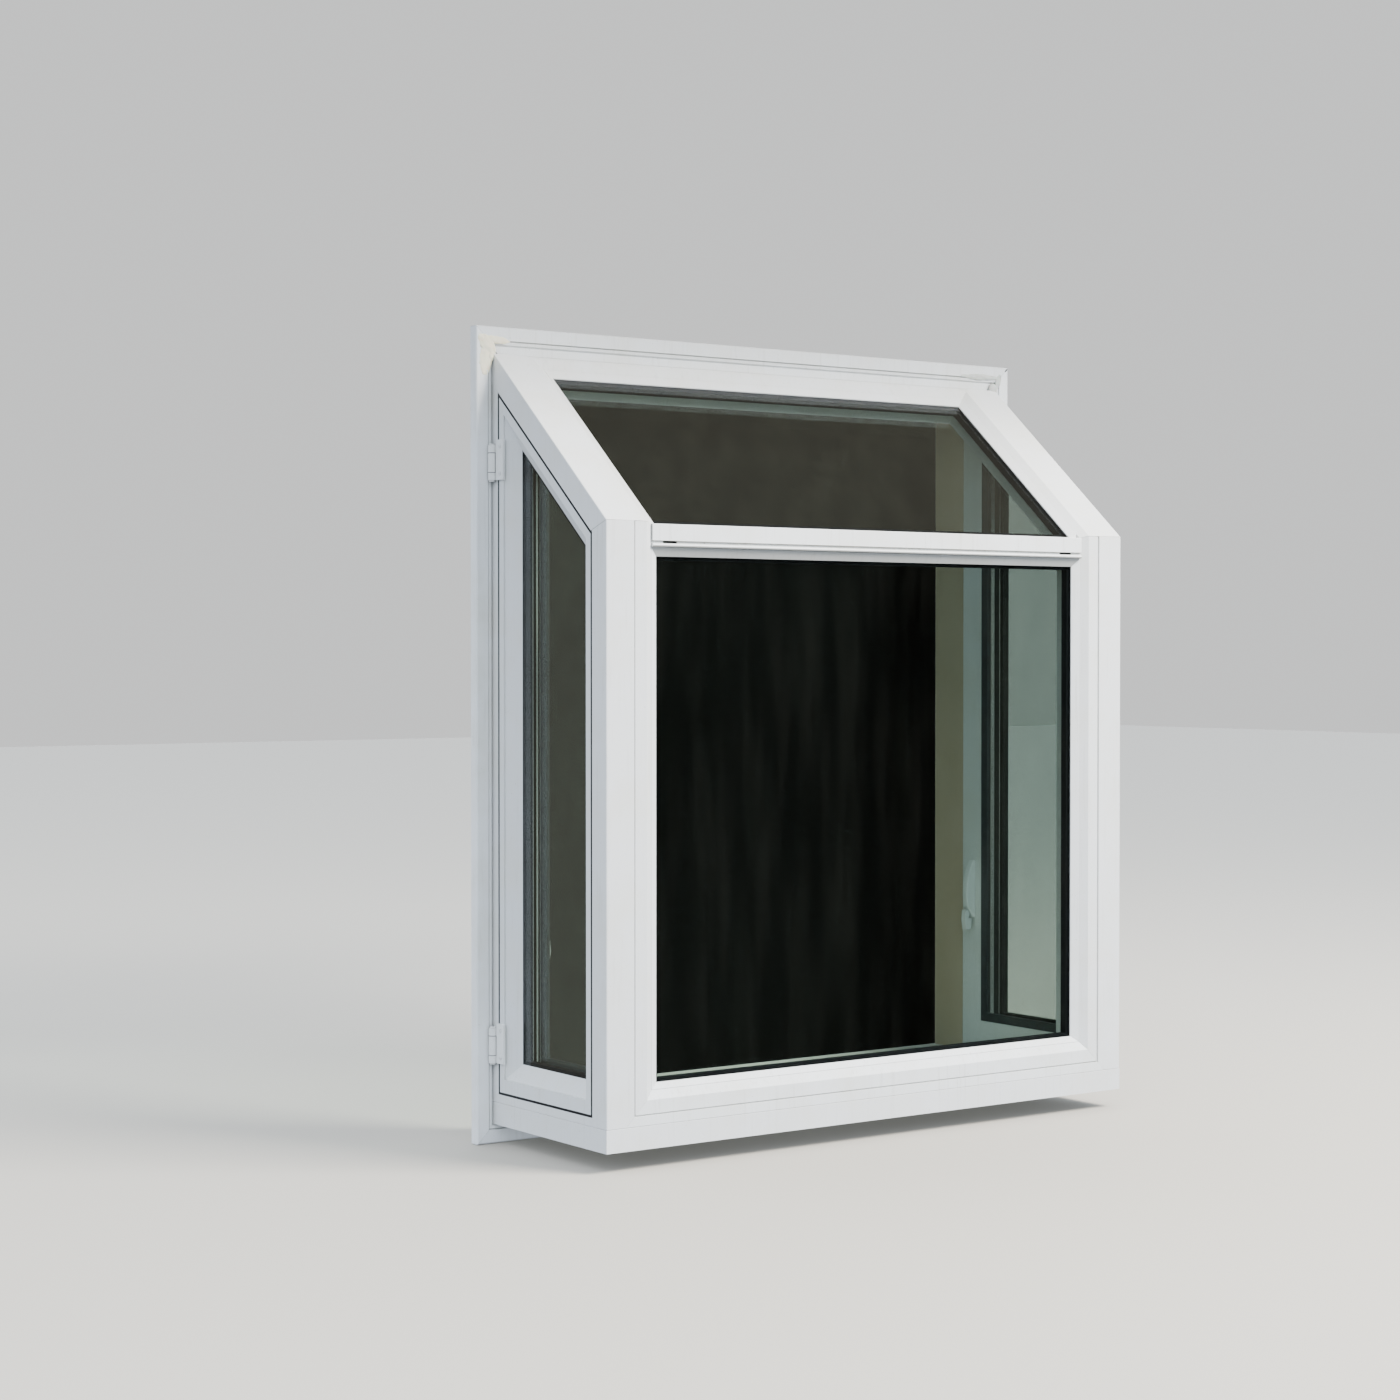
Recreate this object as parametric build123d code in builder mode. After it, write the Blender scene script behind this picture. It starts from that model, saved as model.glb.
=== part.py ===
from build123d import *
from math import atan2, cos, hypot, sin
import os

# Garden window: a glazed box that stands out from an outside wall under a sloped glass roof.
# X runs right, Y runs into the wall and Z runs up. The origin is on the back of the wall
# flange, in mid width, level with the underside of the box.

os.makedirs("parts", exist_ok=True)

# Overall sizes, millimetres.
BOX_W = 1175.0
BOX_OUT = 380.0
ROOF_TOP_Z = 1361.0
ROOF_TOP_Y = -20.0
EAVE_Z = 1055.0
FLANGE_SIDE = 35.0
FLANGE_HEAD = 48.0
FLANGE_SILL = 34.0
SEAM = 0.3
JOINT = 0.7

# White frame profile, w across the face from the outer edge and d into the depth.
FRAME_D = 65.0
GROOVE_W = 57.5
GROOVE_HALF = 1.5
GROOVE_D = 3.0
BAND_D = 1.0
BAND_W = 82.0
LIP_W = 97.0
LIP_D = 10.0
POCKET_W = 84.0
SIGHT_W = 112.0
SIDE_BAND = 43.5
REBATE_W = 59.0
STOP_W = 76.0
HEAD_COVER = 73.0
HEEL_T = 4.0

# Insulating glass: two panes held apart by a dark spacer.
PANE = 4.0
CAVITY = 14.0
GLASS_EDGE = 86.0
GLASS_D = 19.5
SPACER_W = 12.0
SPACER_IN = 6.0
BEAD_LIP = 2.0
BEAD_BEVEL = 8.0

# Base, wall jamb and wall lining.
SKIRT_H = 40.0
SILL_BAND = 55.3
SEAT_TOP = 40.0
RAIL_STOP_Z = 102.0
BOARD_T = 18.0
PLATE_T = 12.0
FLANGE_T = 20.0
JAMB_Y = 35.3
STOP_Y = 66.5
LINER_Y = 75.0

# Eave bar, downwards from the eave: flat face, groove with drain slots, rounded nose, bead.
EAVE_SET = 5.0
EAVE_DROP = 4.0
FACE_H = 28.0
GROOVE_H = 5.0
NOSE_H = 6.0
BEAD_H = 15.5
SIGHT_LOW_Z = 108.0
DRAIN_IN = 135.0
DRAIN_L = 30.0
DRAIN_H = 4.0
CUT_OVER = 20.0

# Side sash.
GAP = 3.4
SASH_W = 44.0
SASH_FOOT = 9.0
SASH_SEAL = 1.5
SASH_LIP = 15.0
SASH_STEP = 3.0
SASH_GLASS_D = 21.0
SASH_PANE = 3.0
SASH_CAVITY = 14.0
SASH_BEVEL = 28.0
SASH_POCKET = 14.0
SASH_CLEAR = 2.0

# Insect screen frame.
SCREEN_W = 17.0
SCREEN_T = 8.0

# Hardware.
HINGE_Z = (110.0, 1137.5)
HINGE_H = 61.5
KNUCKLE_H = 13.5
KNUCKLE_R = 7.0
LEAF_T = 4.0
LEAF_L = 19.0
LEAF_TOP = 9.0
PIN_Y = -26.2
HANDLE_Z = 283.0
HANDLE_Y = -42.0
COVER_L = 114.0
COVER_W = 15.0
COVER_OUT = 21.0
COVER_TIP = 4.0
LEVER_H = 24.0
LEVER_W = 11.0
STEM_W = 5.0

HALF = BOX_W / 2
OUT_HALF = HALF + FLANGE_SIDE
RUN = BOX_OUT + ROOF_TOP_Y
RISE = ROOF_TOP_Z - EAVE_Z
SLOPE = atan2(RISE, RUN)
SLOPE_LEN = hypot(RUN, RISE)
C = cos(SLOPE)
S = sin(SLOPE)


def roof(t, depth):
    """Side view point t down the roof from its top and depth below its face."""
    return (ROOF_TOP_Y - C * t + S * depth, ROOF_TOP_Z - S * t - C * depth)


def under_roof(y, depth):
    """Height at y of the line that runs depth below the roof face."""
    return ROOF_TOP_Z + (y - ROOF_TOP_Y) * RISE / RUN - depth / C


def save(piece, name):
    """Name a finished piece and write its file."""
    piece.part.label = name
    export_step(piece.part, "parts/" + name + ".step")


# Frame section as (w, d) points: flat face, groove, band, bevelled lip and glass pocket.
FRAME_SECTION = [
    (0, 2.0),
    (0.6, 0.6),
    (2.0, 0),
    (GROOVE_W - GROOVE_HALF, 0),
    (GROOVE_W - GROOVE_HALF / 2, GROOVE_D),
    (GROOVE_W + GROOVE_HALF / 2, GROOVE_D),
    (GROOVE_W + GROOVE_HALF, BAND_D),
    (BAND_W, BAND_D),
    (LIP_W, LIP_D),
    (LIP_W, GLASS_D - SEAM),
    (POCKET_W, GLASS_D - SEAM),
    (POCKET_W, FRAME_D),
    (REBATE_W, FRAME_D),
    (REBATE_W, SIDE_BAND),
    (0, SIDE_BAND),
]
# The roof members have the same section without the groove.
ROOF_SECTION = FRAME_SECTION[:3] + FRAME_SECTION[7:]
ROOF = Plane(origin=(0, ROOF_TOP_Y, ROOF_TOP_Z), x_dir=(1, 0, 0), z_dir=(0, -S, C))
EAVE_CUT = Plane(origin=(0, -BOX_OUT, EAVE_Z), x_dir=(1, 0, 0), z_dir=(0, -(1 - C) / S, -1))
GLASS_STACK = 2 * PANE + CAVITY
GLASS_BACK_D = GLASS_D + GLASS_STACK
HEAD_Y, HEAD_Z = roof(POCKET_W - HEAD_COVER, FRAME_D)
HEEL_Y = HEAD_Y + HEEL_T
HEEL_TOP_Z = ROOF_TOP_Z - PLATE_T - SEAM
SASH_T = REBATE_W - SASH_SEAL
SIDES = ((-1, "left"), (1, "right"))

# Corner posts
# One tall white profile each side. The foot is mitred into the front rail and the head
# is mitred into the rafter.
for hand, word in SIDES:
    with BuildPart() as post:
        with BuildSketch(Plane.XY.offset(SKIRT_H + SEAM)):
            Polygon(
                *[(hand * (HALF - w), d - BOX_OUT) for w, d in FRAME_SECTION],
                align=None,
            )
        extrude(amount=EAVE_Z - SKIRT_H)
        split(bisect_by=EAVE_CUT.offset(JOINT / 2), keep=Keep.TOP)
        split(
            bisect_by=Plane(origin=(hand * HALF, 0, SEAM), z_dir=(hand, 0, 1)),
            keep=Keep.TOP,
        )
    save(post, "corner_post_" + word)

# Front rail
# The same profile laid across the bottom of the front, mitred into both posts.
with BuildPart() as front_rail:
    with BuildSketch(Plane.YZ):
        Polygon(
            *[(d - BOX_OUT, w) for w, d in FRAME_SECTION],
            align=None,
        )
    extrude(amount=HALF, both=True)
    split(bisect_by=Plane.XY.offset(SKIRT_H + SEAM), keep=Keep.TOP)
    for hand, word in SIDES:
        split(
            bisect_by=Plane(origin=(hand * HALF, 0, 0), z_dir=(-hand, 0, -1)),
            keep=Keep.TOP,
        )
    with BuildSketch(Plane.YZ):
        Polygon(
            (-BOX_OUT + SIDE_BAND, SKIRT_H + SEAM),
            (-BOX_OUT + SIDE_BAND, REBATE_W),
            (-BOX_OUT + FRAME_D, REBATE_W),
            (-BOX_OUT + FRAME_D, SKIRT_H + SEAM),
            align=None,
        )
    extrude(amount=HALF - STOP_W - SEAM, both=True)
save(front_rail, "front_rail")

# Rafters
# The profile turned to the roof slope, mitred into the post below and the head rail above.
for hand, word in SIDES:
    with BuildPart() as rafter:
        with BuildSketch(Plane(origin=(0, -BOX_OUT, EAVE_Z), x_dir=(1, 0, 0), z_dir=(0, C, S))):
            Polygon(
                *[(hand * (HALF - w), d) for w, d in ROOF_SECTION],
                align=None,
            )
        extrude(amount=SLOPE_LEN + 80, both=True)
        split(bisect_by=EAVE_CUT.offset(-JOINT / 2), keep=Keep.BOTTOM)
        split(bisect_by=Plane.XZ.offset(PLATE_T + SEAM), keep=Keep.TOP)
        split(bisect_by=Plane.XY.offset(ROOF_TOP_Z), keep=Keep.BOTTOM)
        split(
            bisect_by=Plane(
                origin=ROOF.from_local_coords(Vector(hand * (HALF - HEAD_COVER), -SEAM, 0)),
                z_dir=ROOF.z_dir.cross(Vector(1, 0, 0)) * -1 + Vector(hand, 0, 0),
            ),
            keep=Keep.TOP,
        )
    save(rafter, "rafter_" + word)

# Head rail
# The same profile across the top of the roof, pushed up under the wall flange so that only its
# band and lip show. A square heel behind it runs into the wall opening.
with BuildPart() as head_rail:
    with BuildSketch(Plane.YZ):
        Polygon(
            roof(0, BAND_D),
            *[roof(w - HEAD_COVER, d) for w, d in ROOF_SECTION[3:8]],
            (HEAD_Y, HEEL_TOP_Z),
            (-PLATE_T - SEAM, HEEL_TOP_Z),
            (-PLATE_T - SEAM, ROOF_TOP_Z),
            align=None,
        )
    extrude(amount=HALF, both=True)
    split(bisect_by=Plane.XZ.offset(PLATE_T), keep=Keep.TOP)
    for hand, word in SIDES:
        split(
            bisect_by=Plane(
                origin=ROOF.from_local_coords(Vector(hand * (HALF - HEAD_COVER), 0, 0)),
                z_dir=ROOF.z_dir.cross(Vector(1, 0, 0)) + Vector(-hand, 0, 0),
            ),
            keep=Keep.TOP,
        )
    with BuildSketch(Plane.YZ):
        Polygon(
            (-PLATE_T, HEAD_Z + (HEAD_Y + PLATE_T) * C / S),
            (HEAD_Y, HEAD_Z),
            (HEEL_Y, HEAD_Z),
            (HEEL_Y, HEEL_TOP_Z),
            (-PLATE_T, HEEL_TOP_Z),
            align=None,
        )
    extrude(amount=HALF - STOP_W - SEAM, both=True)
save(head_rail, "head_rail")

# Wall jambs
# Upright profile against the flange, with a wide inner stop that closes on the sash.
for hand, word in SIDES:
    with BuildPart() as jamb:
        with BuildSketch(Plane.YZ.offset(hand * HALF)):
            Polygon(
                (-JAMB_Y, SKIRT_H + SEAM),
                (-JAMB_Y, under_roof(-JAMB_Y, SIDE_BAND + SEAM)),
                (-PLATE_T - SEAM, under_roof(-PLATE_T - SEAM, SIDE_BAND + SEAM)),
                (-PLATE_T - SEAM, SKIRT_H + SEAM),
                align=None,
            )
        extrude(amount=-hand * REBATE_W)
        with BuildSketch(Plane.YZ.offset(hand * (HALF - REBATE_W))):
            Polygon(
                (-STOP_Y, SKIRT_H + SEAM),
                (-STOP_Y, under_roof(-STOP_Y, FRAME_D + SEAM)),
                (-PLATE_T - SEAM, under_roof(-PLATE_T - SEAM, FRAME_D + SEAM)),
                (-PLATE_T - SEAM, SKIRT_H + SEAM),
                align=None,
            )
        extrude(amount=-hand * (STOP_W - REBATE_W))
    save(jamb, "wall_jamb_" + word)

# Side rails
# Low rail under each sash, with a tall inner stop that the sash closes on.
for hand, word in SIDES:
    with BuildPart() as side_rail:
        with BuildSketch(Plane.XZ.offset(JAMB_Y + SEAM)):
            Polygon(
                (hand * HALF, SKIRT_H + SEAM),
                (hand * HALF, SILL_BAND),
                (hand * (HALF - REBATE_W), SILL_BAND + 2),
                (hand * (HALF - REBATE_W), SKIRT_H + SEAM),
                align=None,
            )
        extrude(amount=BOX_OUT - SIDE_BAND - JAMB_Y - 2 * SEAM)
        with BuildSketch(Plane.XZ.offset(STOP_Y + SEAM)):
            Polygon(
                (hand * (HALF - REBATE_W), SKIRT_H + SEAM),
                (hand * (HALF - REBATE_W), RAIL_STOP_Z),
                (hand * (HALF - STOP_W), RAIL_STOP_Z),
                (hand * (HALF - STOP_W), SKIRT_H + SEAM),
                align=None,
            )
        extrude(amount=BOX_OUT - FRAME_D - STOP_Y - 2 * SEAM)
    save(side_rail, "side_rail_" + word)

# Eave bar
# Bar between the posts that carries the top of the front glass and the foot of the roof
# glass. A groove with two drain slots runs along its face over a rounded nose.
EAVE_TOP_Z = EAVE_Z - EAVE_DROP
GROOVE_Z = EAVE_TOP_Z - FACE_H - GROOVE_H / 2
NOSE_Z = GROOVE_Z - GROOVE_H / 2 - NOSE_H / 2
BEAD_TOP_Z = NOSE_Z - NOSE_H / 2
SIGHT_TOP_Z = BEAD_TOP_Z - BEAD_H
CURB_Y = -BOX_OUT + GLASS_D - SEAM
GLASS_FOOT_T = (ROOF_TOP_Y + S * GLASS_D - CURB_Y) / C - PANE
LEDGE_T = (ROOF_TOP_Y + S * (GLASS_BACK_D + SEAM) + BOX_OUT - FRAME_D) / C - SEAM
EAVE_Y = -BOX_OUT + EAVE_SET
with BuildPart() as eave_bar:
    with BuildSketch(Plane.YZ):
        Polygon(
            (EAVE_Y + 1, EAVE_TOP_Z),
            (EAVE_Y, EAVE_TOP_Z - 1),
            (EAVE_Y, GROOVE_Z + GROOVE_H / 2),
            (EAVE_Y + EAVE_SET - 1, GROOVE_Z + GROOVE_H / 4),
            (EAVE_Y + EAVE_SET - 1, GROOVE_Z - GROOVE_H / 4),
            (EAVE_Y - 0.5, NOSE_Z + NOSE_H / 3),
            (EAVE_Y - 1.5, NOSE_Z),
            (EAVE_Y - 0.5, NOSE_Z - NOSE_H / 3),
            (EAVE_Y + 2, BEAD_TOP_Z),
            (CURB_Y, BEAD_TOP_Z),
            (CURB_Y, EAVE_TOP_Z),
            align=None,
        )
    extrude(amount=HALF - LIP_W - SEAM, both=True)
    with BuildSketch(Plane.YZ):
        Polygon(
            (CURB_Y, under_roof(CURB_Y, GLASS_D)),
            (CURB_Y, BEAD_TOP_Z),
            (-BOX_OUT + FRAME_D, BEAD_TOP_Z),
            (-BOX_OUT + FRAME_D, under_roof(-BOX_OUT + FRAME_D, GLASS_BACK_D + SEAM)),
            roof(GLASS_FOOT_T + PANE, GLASS_BACK_D + SEAM),
            align=None,
        )
    extrude(amount=HALF - POCKET_W - SEAM, both=True)
    with BuildSketch(Plane.XZ.offset(-EAVE_Y)):
        with Locations((-HALF + DRAIN_IN, GROOVE_Z), (HALF - DRAIN_IN, GROOVE_Z)):
            SlotOverall(DRAIN_L, DRAIN_H)
    extrude(amount=-3 * DRAIN_H, mode=Mode.SUBTRACT)
save(eave_bar, "eave_bar")

# Skirt
# Low white trim round the foot of the box, mitred at the front corners.
SKIRT_SIDE_D = STOP_W
with BuildPart() as skirt_front:
    with BuildSketch(Plane.XY):
        Polygon(
            (-HALF, -BOX_OUT),
            (HALF, -BOX_OUT),
            (HALF - SKIRT_SIDE_D, -BOX_OUT + FRAME_D),
            (-HALF + SKIRT_SIDE_D, -BOX_OUT + FRAME_D),
            align=None,
        )
    extrude(amount=SKIRT_H)
    chamfer(skirt_front.edges().filter_by(Axis.X).group_by(Axis.Y)[0].sort_by(Axis.Z)[-1], 1.2)
save(skirt_front, "skirt_front")

for hand, word in SIDES:
    with BuildPart() as skirt_side:
        with BuildSketch(Plane.XY):
            Polygon(
                (hand * HALF, -BOX_OUT + 2 * SEAM),
                (hand * HALF, -PLATE_T - SEAM),
                (hand * (HALF - SKIRT_SIDE_D), -PLATE_T - SEAM),
                (hand * (HALF - SKIRT_SIDE_D), -BOX_OUT + FRAME_D + 2 * SEAM),
                align=None,
            )
        extrude(amount=SKIRT_H)
        side_edges = skirt_side.edges().filter_by(Axis.Y).group_by(Axis.Z)[-1]
        chamfer(side_edges.sort_by(Axis.X)[0 if hand < 0 else -1], 1.2)
    save(skirt_side, "skirt_" + word)

# Base panel
# Insulated board that closes the foot of the box, between the skirt pieces and under the seat.
with BuildPart() as base_panel:
    with BuildSketch(Plane.YZ):
        Polygon(
            (-PLATE_T - SEAM, 0),
            (-PLATE_T - SEAM, SEAT_TOP - BOARD_T - SEAM),
            (-BOX_OUT + FRAME_D + SEAM, SEAT_TOP - BOARD_T - SEAM),
            (-BOX_OUT + FRAME_D + SEAM, 0),
            align=None,
        )
    extrude(amount=HALF - STOP_W - SEAM, both=True)
save(base_panel, "base_panel")

# Wall flange
# Four mitred trim pieces round the box, with a flat outer band and two stepped ridges. A flat
# plate behind the box carries the frame and is fixed to the wall.
LINER_OUT = HALF - STOP_W + BOARD_T
RIM = [
    (0, 0),
    (0, FLANGE_T - 2),
    (2, FLANGE_T),
    (23.5, FLANGE_T),
    (25, FLANGE_T - 4),
    (26.5, FLANGE_T - 1),
    (31, FLANGE_T - 2),
    (33, FLANGE_T - 6),
]
TOP_Z = ROOF_TOP_Z + FLANGE_HEAD
HEAD_EDGE = FLANGE_HEAD + PLATE_T
SIDE_EDGE = OUT_HALF - LINER_OUT - SEAM
SILL_EDGE = FLANGE_SILL + SEAT_TOP - BOARD_T - SEAM


def rim_profile(face, edge):
    """Flange section: the rim as far as the box, then the plate behind the box."""
    tail = [(face - SEAM, FLANGE_T - 6), (face - SEAM, PLATE_T), (edge, PLATE_T), (edge, 0)]
    return RIM + tail


def corner_plane(hand, low):
    """Mitre plane at a flange corner, facing the side piece."""
    z = -FLANGE_SILL if low else TOP_Z
    return Plane(origin=(hand * OUT_HALF, 0, z), z_dir=(hand, 0, 1 if low else -1))


with BuildPart() as flange_head:
    with BuildSketch(Plane.YZ):
        Polygon(*[(-y, TOP_Z - w) for w, y in rim_profile(FLANGE_HEAD, HEAD_EDGE)], align=None)
    extrude(amount=OUT_HALF, both=True)
    for hand, word in SIDES:
        with BuildSketch(Plane.XZ):
            Polygon(
                (hand * OUT_HALF, TOP_Z),
                (hand * (OUT_HALF - HEAD_EDGE - 1), TOP_Z - HEAD_EDGE - 1),
                (hand * (OUT_HALF + 1), TOP_Z - HEAD_EDGE - 1),
                (hand * (OUT_HALF + 1), TOP_Z),
                align=None,
            )
        extrude(amount=FLANGE_T + 1, mode=Mode.SUBTRACT)
save(flange_head, "flange_head")

with BuildPart() as flange_sill:
    with BuildSketch(Plane.YZ):
        Polygon(*[(-y, w - FLANGE_SILL) for w, y in rim_profile(FLANGE_SILL, SILL_EDGE)], align=None)
    extrude(amount=OUT_HALF, both=True)
    for hand, word in SIDES:
        with BuildSketch(Plane.XZ):
            Polygon(
                (hand * OUT_HALF, -FLANGE_SILL),
                (hand * (OUT_HALF - SILL_EDGE - 1), SILL_EDGE - FLANGE_SILL + 1),
                (hand * (OUT_HALF + 1), SILL_EDGE - FLANGE_SILL + 1),
                (hand * (OUT_HALF + 1), -FLANGE_SILL),
                align=None,
            )
        extrude(amount=FLANGE_T + 1, mode=Mode.SUBTRACT)
save(flange_sill, "flange_sill")

for hand, word in SIDES:
    with BuildPart() as flange_side:
        with BuildSketch(Plane.XY.offset(-FLANGE_SILL)):
            Polygon(
                *[(hand * (OUT_HALF - w), -y) for w, y in rim_profile(FLANGE_SIDE, SIDE_EDGE)],
                align=None,
            )
        extrude(amount=TOP_Z + FLANGE_SILL)
        split(bisect_by=corner_plane(hand, True).offset(SEAM), keep=Keep.TOP)
        split(bisect_by=corner_plane(hand, False).offset(SEAM), keep=Keep.TOP)
        with BuildSketch(Plane.XZ):
            Polygon(
                (hand * (OUT_HALF - SIDE_EDGE), SILL_EDGE - FLANGE_SILL + SEAM),
                (hand * (OUT_HALF - SILL_EDGE + 1), SILL_EDGE - FLANGE_SILL + SEAM),
                (hand * (OUT_HALF - SIDE_EDGE), SIDE_EDGE - FLANGE_SILL + 1),
                align=None,
            )
        extrude(amount=PLATE_T)
    save(flange_side, "flange_" + word)

# Seat and wall lining
# Painted boards: the plant seat, the reveals at both sides and the head.
with BuildPart() as seat_board:
    with BuildSketch(Plane.XY.offset(SEAT_TOP - BOARD_T)):
        Polygon(
            (-HALF + STOP_W + SEAM, -BOX_OUT + FRAME_D + SEAM),
            (HALF - STOP_W - SEAM, -BOX_OUT + FRAME_D + SEAM),
            (HALF - STOP_W - SEAM, LINER_Y),
            (-HALF + STOP_W + SEAM, LINER_Y),
            align=None,
        )
    extrude(amount=BOARD_T)
save(seat_board, "seat_board")

for hand, word in SIDES:
    with BuildPart() as liner:
        with BuildSketch(Plane.YZ.offset(hand * (HALF - STOP_W))):
            Polygon(
                (-PLATE_T + SEAM, SEAT_TOP - BOARD_T),
                (-PLATE_T + SEAM, HEAD_Z - SEAM),
                (LINER_Y, HEAD_Z - SEAM),
                (LINER_Y, SEAT_TOP - BOARD_T),
                align=None,
            )
        extrude(amount=hand * BOARD_T)
    save(liner, "reveal_board_" + word)

with BuildPart() as head_board:
    with BuildSketch(Plane.YZ):
        Polygon(
            (HEEL_Y + SEAM, HEAD_Z),
            (HEEL_Y + SEAM, HEAD_Z + BOARD_T),
            (LINER_Y, HEAD_Z + BOARD_T),
            (LINER_Y, HEAD_Z),
            align=None,
        )
    extrude(amount=LINER_OUT, both=True)
save(head_board, "head_board")


def front_opening(w, low, top):
    """Front view rectangle, w in from both sides of the box, from height low to height top."""
    return [(-HALF + w, low), (HALF - w, low), (HALF - w, top), (-HALF + w, top)]


def roof_opening(w, foot):
    """Roof plane rectangle, w into the frame section at the sides and head, down to foot."""
    head = HEAD_COVER - w
    return [(-HALF + w, head), (HALF - w, head), (HALF - w, -foot), (-HALF + w, -foot)]


# Front glazing
FRONT_GLASS_TOP = BEAD_TOP_Z - 3
with BuildPart() as front_glass:
    for start in (GLASS_D, GLASS_D + PANE + CAVITY):
        with BuildSketch(Plane.XZ.offset(BOX_OUT - start)):
            Polygon(*front_opening(GLASS_EDGE, GLASS_EDGE, FRONT_GLASS_TOP), align=None)
        extrude(amount=-PANE)
save(front_glass, "front_glass")

# Roof glazing
with BuildPart() as roof_glass:
    for start in (GLASS_D, GLASS_D + PANE + CAVITY):
        with BuildSketch(ROOF.offset(-start)):
            Polygon(*roof_opening(GLASS_EDGE, GLASS_FOOT_T), align=None)
        extrude(amount=-PANE)
save(roof_glass, "roof_glass")

# Glazing beads
# Slim outer beads close the glass edge outside, deeper snap-in beads hold it inside.
with BuildPart() as front_outer_beads:
    with BuildSketch(Plane.XZ.offset(BOX_OUT - LIP_D)):
        Polygon(*front_opening(LIP_W + SEAM, LIP_W + SEAM, BEAD_TOP_Z - SEAM), align=None)
        Polygon(*front_opening(SIGHT_W, SIGHT_LOW_Z, SIGHT_TOP_Z), align=None, mode=Mode.SUBTRACT)
    extrude(amount=-(GLASS_D - LIP_D))
    with BuildSketch(Plane.XZ.offset(BOX_OUT - LIP_D)):
        Polygon(*front_opening(LIP_W + 1, LIP_W + 1, BEAD_TOP_Z - 1), align=None)
    with BuildSketch(Plane.XZ.offset(BOX_OUT - GLASS_D + BEAD_LIP)):
        Polygon(*front_opening(SIGHT_W, SIGHT_LOW_Z, SIGHT_TOP_Z), align=None)
    loft(mode=Mode.SUBTRACT)
save(front_outer_beads, "front_outer_beads")

with BuildPart() as front_inner_beads:
    with BuildSketch(Plane.XZ.offset(BOX_OUT - GLASS_BACK_D)):
        Polygon(*front_opening(POCKET_W + SEAM, POCKET_W + SEAM, BEAD_TOP_Z - SEAM), align=None)
        Polygon(*front_opening(SIGHT_W, SIGHT_LOW_Z, SIGHT_TOP_Z), align=None, mode=Mode.SUBTRACT)
    extrude(amount=-(FRAME_D - GLASS_BACK_D))
    with BuildSketch(Plane.XZ.offset(BOX_OUT - GLASS_BACK_D - BEAD_LIP)):
        Polygon(*front_opening(SIGHT_W, SIGHT_LOW_Z, SIGHT_TOP_Z), align=None)
    with BuildSketch(Plane.XZ.offset(BOX_OUT - FRAME_D)):
        Polygon(
            *front_opening(
                SIGHT_W - BEAD_BEVEL, SIGHT_LOW_Z - BEAD_BEVEL, SIGHT_TOP_Z + BEAD_BEVEL
            ),
            align=None,
        )
    loft(mode=Mode.SUBTRACT)
save(front_inner_beads, "front_inner_beads")

with BuildPart() as roof_outer_beads:
    with BuildSketch(ROOF.offset(-LIP_D)):
        Polygon(*roof_opening(LIP_W + SEAM, GLASS_FOOT_T + 2), align=None)
        Polygon(*roof_opening(SIGHT_W, GLASS_FOOT_T + CUT_OVER), align=None, mode=Mode.SUBTRACT)
    extrude(amount=-(GLASS_D - LIP_D))
    with BuildSketch(ROOF.offset(-LIP_D)):
        Polygon(*roof_opening(LIP_W + 1, GLASS_FOOT_T + CUT_OVER), align=None)
    with BuildSketch(ROOF.offset(BEAD_LIP - GLASS_D)):
        Polygon(*roof_opening(SIGHT_W, GLASS_FOOT_T + CUT_OVER), align=None)
    loft(mode=Mode.SUBTRACT)
    split(bisect_by=Plane.XZ.offset(-CURB_Y - SEAM), keep=Keep.BOTTOM)
save(roof_outer_beads, "roof_outer_beads")

with BuildPart() as roof_inner_beads:
    with BuildSketch(ROOF.offset(-GLASS_BACK_D)):
        Polygon(*roof_opening(POCKET_W + SEAM, LEDGE_T), align=None)
        Polygon(*roof_opening(SIGHT_W, LEDGE_T + CUT_OVER), align=None, mode=Mode.SUBTRACT)
    extrude(amount=-(FRAME_D - GLASS_BACK_D))
    with BuildSketch(ROOF.offset(-GLASS_BACK_D - BEAD_LIP)):
        Polygon(*roof_opening(SIGHT_W, LEDGE_T + CUT_OVER), align=None)
    with BuildSketch(ROOF.offset(-FRAME_D)):
        Polygon(*roof_opening(SIGHT_W - BEAD_BEVEL, LEDGE_T + CUT_OVER), align=None)
    loft(mode=Mode.SUBTRACT)
save(roof_inner_beads, "roof_inner_beads")


# Side sashes
# Each sash is a welded four-sided ring with a lip, a step and a bevel outside. It is set
# into the side of the box behind a thin dark gap.
def sash_outline(inset):
    """Side view corners of the sash, inset from its outer edge. The foot rail is deeper."""
    rear = -JAMB_Y - GAP - inset
    front = -BOX_OUT + SIDE_BAND + GAP + inset
    low = SILL_BAND + GAP + inset + (SASH_FOOT if inset else 0)
    below = SIDE_BAND + GAP + inset
    return [
        (rear, low),
        (rear, under_roof(rear, below)),
        (front, under_roof(front, below)),
        (front, low),
    ]


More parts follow.
